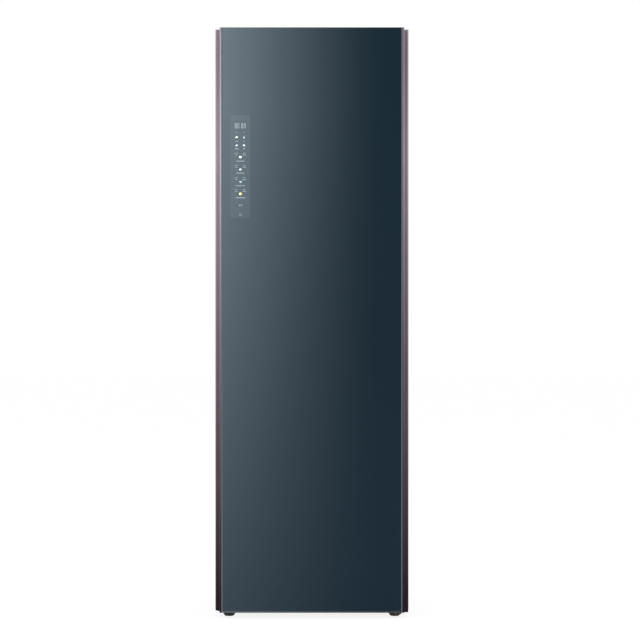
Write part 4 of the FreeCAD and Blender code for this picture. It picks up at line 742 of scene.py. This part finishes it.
def gasket():
    """Magnetic seal: a hollow lip whose outline swells, folds in and swells again."""
    low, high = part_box("door_gasket")
    lip = [(inset * mm, low.y + depth * mm) for inset, depth in (
        (1.2, 0), (0.8, 1.4), (2.2, 2.2), (2.4, 3.0), (0.4, 3.8), (0, 5.2), (0.6, 7.0), (1.6, 7.6),
        (10.4, 7.6), (11.6, 6.8), (12, 5.2), (11.4, 3.8), (9.6, 3.0), (9.8, 2.2), (11.2, 1.4),
        (10.8, 0))]
    rows = inset_frames((low.x, low.z), (high.x, high.z), 14 * mm, lip)
    seal = surface("door_seal", rows, "door", "black_rubber", ring=True, angle=50)
    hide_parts("door_gasket")


def opening_frame(name, outer, inner, radius):
    """Flat frame round an opening whose inner edge rolls in by a quarter circle."""
    near, far = collar_low.y, collar_high.y
    roll, corner = 3 * mm, 0.3 * mm
    low, high = np.array(inner)
    rows = [(*outer, corner, far), (*outer, corner, near)]
    for angle in np.linspace(0, math.pi / 2, 5):
        ease = roll * (1 - math.sin(angle))
        rows.append((low - ease, high + ease, radius + ease, near + roll * (1 - math.cos(angle))))
    rows.append((low, high, radius, far))
    return surface(name, frames(rows), "cabinet", "grey_liner", ring=True)


def front_frame():
    """The frame behind the door: one ring round the chamber and one round the tank bay."""
    seam = (floor_low.z + bay_high.z) / 2
    left, right = collar_low.x, collar_high.x
    ring = opening_frame("chamber_front_frame", ((left, seam), (right, collar_high.z)),
                         ((-room_half, floor_high.z), (room_half, roof_low.z)), 18 * mm)
    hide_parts("front_collar")
    sill = bay_low.z + 44 * mm
    opening_frame("bay_front_frame", ((left, collar_low.z), (right, seam)),
                  ((bay_low.x, sill), (bay_high.x, bay_high.z)), 10 * mm)


def hinge_slot_lining():
    """Thin black walls over the foam in the slot that the upper hinge plate turns in.

    The lower wall runs from the bush's round edge out to the slot's square one: along each
    direction it ends where that direction first meets a side of the slot.
    """
    plate_low, plate_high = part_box("hinge_upper")
    bush_low, bush_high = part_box("hinge_bushes")
    wall, plate_wide, turning_room, gap_above = 0.4 * mm, 15 * mm, 7.3 * mm, 1.8 * mm
    left, right = plate_high.x - plate_wide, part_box("door_core")[1].x
    front, back = plate_low.y - turning_room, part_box("door_trim_right")[1].y
    low, high = bush_high.z, plate_high.z + gap_above
    under = high - wall / 2
    lows = ((left, front, high - wall), (left + wall / 4, front + wall / 4, low + wall),
            (left + wall / 2, front + wall / 2, low + 0.9 * wall))
    highs = ((right, back, high), (left + 1.2 * wall, back - wall / 4, under),
             (right - wall / 4, front + 1.4 * wall, under - wall / 8))
    blocks("hinge_slot_walls", lows, highs, "door", "black_plastic")
    pin = np.array((bush_low + bush_high)[:2]) / 2
    off_axis = 0.01
    way = circle(around(72) + off_axis)
    sides = np.where(way > 0, (right, back), (left, front)) - pin
    reach = (sides / way).min(axis=1)
    near = np.minimum(reach - 0.1 * mm, (bush_high.x - bush_low.x) / 2)
    rows = np.empty((4, len(way), 3))
    profile = ((near, low), (near, low + wall), (reach, low + wall), (reach, low))
    for row, (length, level) in zip(rows, profile):
        row[:, :2] = pin + way * length[:, None]
        row[:, 2] = level
    surface("hinge_slot_floor", rows, "door", "black_plastic", ring=True)


def trim_shoes():
    """Black moulded shoes under the side trims: a thin one at the left, and a deeper one at the
    right against the end of the lower hinge plate. The left one runs in to the line of the hinge
    plate, and its black there also stands in for the shadow between the door and the wing."""
    plate_low, plate_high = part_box("hinge_lower")
    tray_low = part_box("base_tray")[0]
    left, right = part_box("side_trim_left")[0].x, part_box("side_trim_right")[1].x
    seam, deep, thin = 0.1 * mm, 25 * mm, 1.5 * mm
    near, far, top = tray_low.y + seam, tray_low.y + deep, tray_low.z - seam
    # Left shoe: its black is partly the dark base piece and partly a strip that stands in for the
    # shadow between the door and the wing.
    lows = ((left + 7 * mm, near, top - thin),
            (plate_high.x - 0.5 * mm, near, plate_low.z + 0.7 * mm))
    highs = ((-plate_high.x, far, top), (right - 1.0 * mm, far, top))
    blocks("trim_shoes", lows, highs, "cabinet", "black_plastic", ease=0.5 * mm)


gasket()
front_frame()
hinge_slot_lining()
trim_shoes()


# ---------------------------------------- chamber
def wire_shelf():
    """Round shelf wires that bend down over the front bar, on two cross bars."""
    low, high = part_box("wire_shelf")
    bar, thick, margin, count = 3 * mm, 1.9 * mm, 18 * mm, 15
    bars_z = low.z + 3.5 * mm
    grids = [wire(((low.x, y, bars_z), (high.x, y, bars_z)), bar, (0, 0, 1), 12)
             for y in (low.y + bar, high.y - bar)]
    front, top = low.y + thick, high.z - thick
    for x in np.linspace(low.x + margin, high.x - margin, count):
        corners = ((x, front, low.z), (x, front, top), (x, high.y - 0.5 * mm, top))
        grids.append(wire(route(corners, 4 * mm), thick, (1, 0, 0)))
    shelf = surface("shelf_wires", grids, "cabinet", slot_of["wire_shelf"], angle=50)
    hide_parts("wire_shelf")


def jacket_hanger(node):
    """A hanger: two arms of oval section that droop and taper, a neck and a wire hook.

    Along the arm the middle line falls as the power 1.7 of the reach, and the half height is
    greatest two fifths of the way out and closes to a round tip.
    """
    low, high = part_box(node)
    x, y = (low.x + high.x) / 2, (low.y + high.y) / 2
    bend, hook_thick, hook_high = 9.1 * mm, 2.7 * mm, 12 * mm
    hook_z = high.z - hook_high
    reach = (high.y - low.y) / 2
    share = np.sin(np.linspace(-math.pi / 2, math.pi / 2, 61))
    out = np.abs(share)
    middle = hook_z - (52 + 60 * out ** 1.7) * mm
    tip = np.sqrt(np.maximum(1 - out ** 6, 0.0008))
    tall = (12.5 + 3.5 * np.sin(math.pi * np.minimum(out * 1.3, 1))) * mm * tip
    wide = 3.9 * mm * tip ** 0.5
    across, up = circle(around(20)).T
    arms = np.empty((len(share), len(across), 3))
    arms[..., 0] = x + wide[:, None] * np.sign(across) * np.abs(across) ** 0.6
    arms[..., 1] = y + (share * reach)[:, None]
    arms[..., 2] = middle[:, None] + tall[:, None] * up
    arc = np.linspace(-math.pi / 2, -2 * math.pi - math.radians(12), 36)
    loop = np.insert((y, hook_z) + bend * circle(arc), 0, x, axis=1)
    neck = np.linspace((x, y, hook_z - 44 * mm), (x, y, hook_z - hook_high), 6)
    hook = wire(np.concatenate((neck, loop)), hook_thick, (1, 0, 0), 14)
    collar = np.array(((6, -42), (6.2, -38), (4.6, -33), (3.6, -31), (3.4, -28), (2.6, -28)))
    collar = turned(collar * mm, (x, y, hook_z), "z", 20)
    made = surface(node + "_moulding", [arms, hook, collar], body_of[node], slot_of[node],
                   angle=40)
    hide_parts(node)


def slot_lips():
    """A raised rounded lip round each air slot: one profile drawn round every slot."""
    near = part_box("duct_panel")[0].y
    slot_x, half_wide, half_tall = 130 * mm, 55 * mm, 3 * mm
    lowest, pitch, count = floor_high.z + 153 * mm, 90 * mm, 12
    lip = [(inset * mm, near + depth * mm) for inset, depth in (
        (-4, 0.3), (-3.4, -1.0), (-1.4, -1.2), (0, -0.2), (0, 2), (-4, 2))]
    grids = []
    for z in lowest + pitch * np.arange(count):
        for x in (-slot_x, slot_x):
            low, high = (x - half_wide, z - half_tall), (x + half_wide, z + half_tall)
            grids.append(inset_frames(low, high, 0.2 * mm, lip, 4))
    surface("air_slot_lips", grids, "cabinet", slot_of["duct_panel"], FINISHES["white_liner"],
            ring=True)


def lamp_ends():
    """Moulded end caps of the chamber lamp: short blocks a hair larger than its lens."""
    low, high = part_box("chamber_lamp")
    long, proud = 7 * mm, 0.3 * mm
    lows = [(x, low.y - proud, low.z - proud) for x in (low.x - proud, high.x + proud - long)]
    highs = [(x + long, high.y + proud, high.z) for x, y, z in lows]
    blocks("lamp_end_caps", lows, highs, "cabinet", "grey_liner", ease=0.8 * mm)


def filter_mesh():
    """Fine woven mesh over the two cells of the lint filter."""
    low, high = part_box("lint_filter")
    z = low.z + 2.2 * mm
    rim, weave, pitch = 13 * mm, 0.35 * mm, 3 * mm
    left, right = low.x + rim, high.x - rim
    near, far = low.y + rim, high.y - rim
    lengthwise = [((left, y - weave, z), (right, y + weave, z + weave))
                  for y in np.arange(near, far, pitch)]
    crosswise = [((x - weave, near, z + weave / 2), (x + weave, far, z + 1.5 * weave))
                 for x in np.arange(left, right, pitch)]
    lows, highs = zip(*lengthwise, *crosswise)
    blocks("filter_mesh", lows, highs, body_of["lint_filter"], "steel")


wire_shelf()
for side in ("left", "middle", "right"):
    jacket_hanger("hanger_" + side)
slot_lips()
lamp_ends()
filter_mesh()


# ---------------------------------------- back and underside
def screw_heads(name, spots, axis, radius):
    """Low domed heads with a flange and a drive hole, standing on a face that looks along an
    axis."""
    shape = np.array(((1.35, -0.3), (1.35, 0.18), (1.0, 0.24), (0.95, 0.62), (0.7, 0.86),
                      (0.35, 0.95), (0.33, 0.55), (0.05, 0.5)))
    flat = 0.75
    grids = [turned(shape * radius * (1, flat), spot, axis, 18) for spot in spots]
    surface(name, grids, "cabinet", "steel", angle=50)


def back_details():
    """Back panel: screws in its pressed fields and a wire guard over the cooling fan."""
    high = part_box("back_panel")[1]
    fields, press, strip, edge = 3, 3 * mm, 30 * mm, 16 * mm
    pitch = (roof_low.z - floor_high.z) / fields
    spots = [(side * (room_half - edge), high.y - press, floor_high.z + field * pitch + level)
             for side in (-1, 1) for field in range(fields)
             for level in (strip / 2 + edge, pitch / 2, pitch - strip / 2 - edge)]
    screw_heads("back_screws", spots, "y", 4.2 * mm)
    middle = sum(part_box("cooling_fan_rotor"), Vector()) / 2
    y = high.y - 1.2 * mm
    section = circle(around(8)) * 0.9
    rings = [turned((section + (radius, 0)) * mm, (middle.x, y, middle.z), "y", 60)
             for radius in (14, 24, 34, 44, 54)]
    surface("fan_guard_rings", rings, "cabinet", "steel", ring=True)
    hub = np.array((middle.x, y - 1.5 * mm, middle.z))
    arms = []
    for angle in np.radians((45, 135, 225, 315)):
        way = np.array((math.cos(angle), 0, math.sin(angle)))
        side = (-way[2], 0, way[0])
        arms.append(wire((hub + way * 12 * mm, hub + way * 60 * mm), 1.1 * mm, side, 8))
    surface("fan_guard_arms", arms, "cabinet", "steel")


def louvre_blades():
    """A slanted blade inside each louvre of the back panel."""
    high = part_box("back_panel")[1]
    section = np.array(((-0.3, 4.6), (-1.3, 5.0), (-7.4, -1.6), (-6.6, -2.2))) * mm
    left, right = 110 * mm, 224 * mm
    lowest, pitch, count = 110 * mm, 16 * mm, 12
    grids = []
    for z in lowest + pitch * np.arange(count):
        blade = np.empty((2, 4, 3))
        blade[..., 0] = np.array((left, right))[:, None]
        blade[..., 1] = high.y - 0.8 * mm + section[:, 0]
        blade[..., 2] = z + section[:, 1]
        grids.append(blade)
    surface("louvre_blades", grids, "cabinet", "zinc_sheet")


def levelling_foot(side):
    """Foot: a knurled base with a rounded tread, a hexagon for the spanner and a threaded stem.

    The knurl is a cosine of 28 waves that takes up to 4% from the base's radius.
    """
    node = "levelling_foot_" + side
    low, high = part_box(node)
    middle = ((low.x + high.x) / 2, (low.y + high.y) / 2, 0)
    base = np.array(((11, 0), (13, 0.3), (14.4, 1.4), (17.4, 5.4), (18.8, 8.8), (19, 9.8),
                     (18.2, 10.8), (15, 11.2), (11, 11.3)))
    spanner = np.array(((11.6, 11.2), (12.9, 12.2), (12.9, 18.6), (11.6, 19.6)))
    height, thread_pitch = np.linspace(19.6, 43.6, 61), 1.25
    ridge = 4.65 + 0.28 * np.cos(height * 2 * math.pi / thread_pitch)
    stem = np.stack((ridge, height), axis=-1)
    grids = [turned(base * mm, middle, "z", 168, lambda turn: 0.98 + 0.02 * np.cos(28 * turn)),
             turned(spanner * mm, middle, "z", 6), turned(stem * mm, middle, "z", 24)]
    made = surface(node + "_turned", grids, body_of[node], slot_of[node], angle=40)
    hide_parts(node)


def tank_details(tank, side):
    """Front of a water tank, on the right at side 1 and the left at -1: a level scale, a drop
    that points up on the supply tank and down on the drain tank, and the knurled ring of its
    cap, a cosine of 45 waves that takes up to 3% from the radius."""
    low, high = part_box(tank + "_tank")
    middle_x = side * (bay_high.x - 2 * mm) / 2
    near, far = low.y - 0.7 * mm, low.y + 0.5 * mm
    scale_x, bottom, top = high.x - 14 * mm, low.z + 46 * mm, high.z - 84 * mm
    long, short, half, line = 7 * mm, 4 * mm, 0.6 * mm, 1.4 * mm
    ticks = [((scale_x - (short if step % 2 else long), near, z - half), (scale_x, far, z + half))
             for step, z in enumerate(np.linspace(bottom, top, 9))]
    lows, highs = zip(*ticks, ((scale_x, near, bottom), (scale_x + line, far, top)))
    blocks(tank + "_tank_scale", lows, highs, "cabinet", "white_liner")
    levels = ((1, far), (1, near + 0.3 * mm), (0.92, near))
    mark, mark_z = drop(34) * (mm, side * mm), low.z + 120 * mm
    plate(tank + "_tank_mark", mark, (middle_x, mark_z), levels, "cabinet", "white_liner",
          angle=30)
    cap = np.array(((23.6, 4.1), (25.2, 4.5), (25.2, 12.4), (24.4, 13.6), (23.6, 13.8))) * mm
    knurl = turned(cap, (middle_x, low.y + 70 * mm, high.z), "z", 180,
                   lambda turn: 0.985 + 0.015 * np.cos(45 * turn))
    surface(tank + "_cap_knurl", knurl, "cabinet", slot_of["tank_lids"], ring=True)


def compressor_details():
    """Weld seam round the compressor's shell, and nuts on the lugs over its three posts."""
    low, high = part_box("compressor")
    middle = ((low.x + high.x) / 2, (low.y + high.y) / 2, 0)
    radius, seam_z = high.x - middle[0], low.z + 118 * mm
    rim = np.array(((-0.4, -5), (0.8, -4.2), (1.4, 0), (0.8, 4.2), (-0.4, 5))) * mm
    seam = turned(rim + (radius, seam_z), middle, "z", 72)
    surface("compressor_seam", seam, "cabinet", "compressor_black", ring=True)
    out, lug_top = 48 * mm, low.z + 4 * mm
    lugs = middle[:2] + out * circle(np.radians((30, 150, 270)))
    screw_heads("compressor_nuts", [(*lug, lug_top) for lug in lugs], "z", 4.4 * mm)


back_details()
louvre_blades()
levelling_foot("left")
levelling_foot("right")
tank_details("supply", 1)
tank_details("drain", -1)
compressor_details()


# ---------------------------------------- eased edges
EASED = {
    "door_trim_left": 0.5, "door_trim_right": 0.5, "door_trim_top": 0.3, "door_trim_bottom": 0.4,
    "door_liner": 1.45, "top_cap": 1.2, "top_panel": 0.35, "side_panel_left": 0.35,
    "side_panel_right": 0.35, "hinge_upper": 0.8, "hinge_lower": 0.7, "chamber_lamp": 0.8,
    "supply_tank": 1.2, "drain_tank": 1.2, "tank_lids": 1.0, "hanger_rail": 0.6, "rail_motor": 0.6,
    "lint_filter": 0.45, "steam_nozzle": 0.5, "compressor": 1.8, "control_box": 1.2,
    "steam_generator": 1.1, "water_pump": 1.0, "rear_rests": 1.2, "tank_bay": 1.0, "base_tray": 0.4,
    "cord_gland": 0.3, "back_panel": 0.4, "fan_motor": 0.8, "hoses": 0, "refrigerant_pipes": 0,
}
for node, width in EASED.items():
    eased(node, width * mm, 30 if width else 60)


# ---------------------------------------- studio
EYE = (0.025, -7.0, 0.9227)


def backdrop(name, corners, material, *unseen):
    """A flat sheet between four corners that some kinds of ray don't meet."""
    mesh = bpy.data.meshes.new(name)
    mesh.from_pydata(corners, [], [(0, 1, 2, 3)])
    mesh.materials.append(material)
    made = new_object(name, mesh)
    for kind in unseen:
        setattr(made, "visible_" + kind, False)


def reflector():
    """A soft graded card that only polished faces see: bright to the left, fading to the
    right as a power of the distance and falling away towards the floor."""
    gap = 2.0
    front = glass_low.y - gap
    spread = 1 + gap / (glass_low.y - EYE[1])
    card = bpy.data.materials.new("graded_card")
    card.use_nodes = True
    tree = card.node_tree
    tree.nodes.clear()
    place = add_node(tree, "ShaderNodeTexCoord").outputs["Object"]
    split = add_node(tree, "ShaderNodeSeparateXYZ", {0: place})

    def ramp(axis, low, high, start, end):
        limits = {"Value": split.outputs[axis], "From Min": low, "From Max": high,
                  "To Min": start, "To Max": end}
        return add_node(tree, "ShaderNodeMapRange", limits).outputs[0]

    def product(first, second, operation="MULTIPLY"):
        factors = {0: first, 1: second}
        return add_node(tree, "ShaderNodeMath", factors, operation=operation).outputs[0]

    left, right = -0.280 * spread, 0.213 * spread
    top, bottom = EYE[2] + 0.647 * spread, EYE[2] - 0.88 * spread
    low_share, fade, brightest = 0.37, 1.55, 1.56
    shade = product(ramp(0, left, right, 1.0, 0.0), ramp(2, bottom, top, low_share, 1.0))
    strength = product(product(shade, fade, "POWER"), brightest)
    pale_blue = (0.96, 1.15, 1.3, 1)
    glow = add_node(tree, "ShaderNodeEmission", {"Color": pale_blue, "Strength": strength})
    clear = add_node(tree, "ShaderNodeBsdfTransparent")
    side, low, high = 1.3, -0.9, 2.8
    edge_x = product(ramp(0, -side, -0.7, 0.0, 1.0), ramp(0, 0.7, side, 1.0, 0.0))
    edge_z = product(ramp(2, low, -0.5, 0.0, 1.0), ramp(2, 2.3, high, 1.0, 0.0))
    blend = add_node(tree, "ShaderNodeMixShader", {0: product(edge_x, edge_z),
                                                   1: clear.outputs[0], 2: glow.outputs[0]})
    add_node(tree, "ShaderNodeOutputMaterial", {0: blend.outputs[0]})
    corners = [(-side, front, high), (side, front, high), (side, front, low), (-side, front, low)]
    backdrop("studio_card", corners, card, "camera", "diffuse", "shadow", "transmission")


def floor():
    """A wide pale floor: just white to the camera where it is lit, darker in the shadow."""
    plain = bpy.data.materials.new("pale_floor")
    plain.use_nodes = True
    tree = plain.node_tree
    shader = tree.nodes["Principled BSDF"]
    shader.inputs["Roughness"].default_value = 0.9
    shader.inputs["Specular IOR Level"].default_value = 0.0
    shader.inputs["Emission Color"].default_value = (1, 1, 1, 1)
    rays = add_node(tree, "ShaderNodeLightPath")
    for socket, unseen, seen in (("Base Color", 0.86, 0.2), ("Emission Strength", 0.0, 0.87)):
        limits = {"Value": rays.outputs["Is Camera Ray"], "To Min": unseen, "To Max": seen}
        answer = add_node(tree, "ShaderNodeMapRange", limits).outputs[0]
        tree.links.new(answer, shader.inputs[socket])
    reach = 30
    corners = [(-reach, -reach, 0), (reach, -reach, 0), (reach, reach, 0), (-reach, reach, 0)]
    backdrop("studio_floor", corners, plain, "glossy")


def daylight():
    """Even white surroundings: full white where they are seen, softer where they light."""
    world = bpy.data.worlds.new("studio_surroundings")
    bpy.context.scene.world = world
    world.use_nodes = True
    tree = world.node_tree
    back = tree.nodes["Background"]
    back.inputs["Color"].default_value = (1, 1, 1, 1)
    rays = add_node(tree, "ShaderNodeLightPath")
    seen = rays.outputs["Is Camera Ray"]
    for kind in ("Is Glossy Ray", "Is Transmission Ray"):
        either = {0: seen, 1: rays.outputs[kind]}
        seen = add_node(tree, "ShaderNodeMath", either, operation="MAXIMUM").outputs[0]
    limits = {"Value": seen, "To Min": 0.62, "To Max": 1.0}
    strength = add_node(tree, "ShaderNodeMapRange", limits).outputs[0]
    tree.links.new(strength, back.inputs["Strength"])


def softbox(name, place, size, power):
    """A square area lamp at a place, turned towards the middle of the object."""
    lamp = bpy.data.lights.new(name, "AREA")
    lamp.shape = "SQUARE"
    lamp.size = size
    lamp.energy = power
    made = new_object(name, lamp)
    made.location = place
    middle = Vector((0, 0, 0.9))
    made.rotation_euler = (middle - Vector(place)).to_track_quat("-Z", "Y").to_euler()


def camera():
    """Level view of the front from seven metres, with a long lens."""
    eye = bpy.data.cameras.new("front_view")
    eye.lens = 122.26
    eye.sensor_width = 36
    made = new_object("front_view", eye)
    made.location = EYE
    made.rotation_euler = (math.pi / 2, 0, 0)
    bpy.context.scene.camera = made


reflector()
floor()
daylight()
softbox("key_softbox", (-3.2, -3.6, 3.4), 3.6, 85)
softbox("fill_softbox", (3.6, -2.6, 2.6), 3.2, 45)
softbox("back_softbox", (0.5, 4.4, 3.2), 3.2, 60)
camera()
bpy.context.scene.view_settings.view_transform = "Standard"
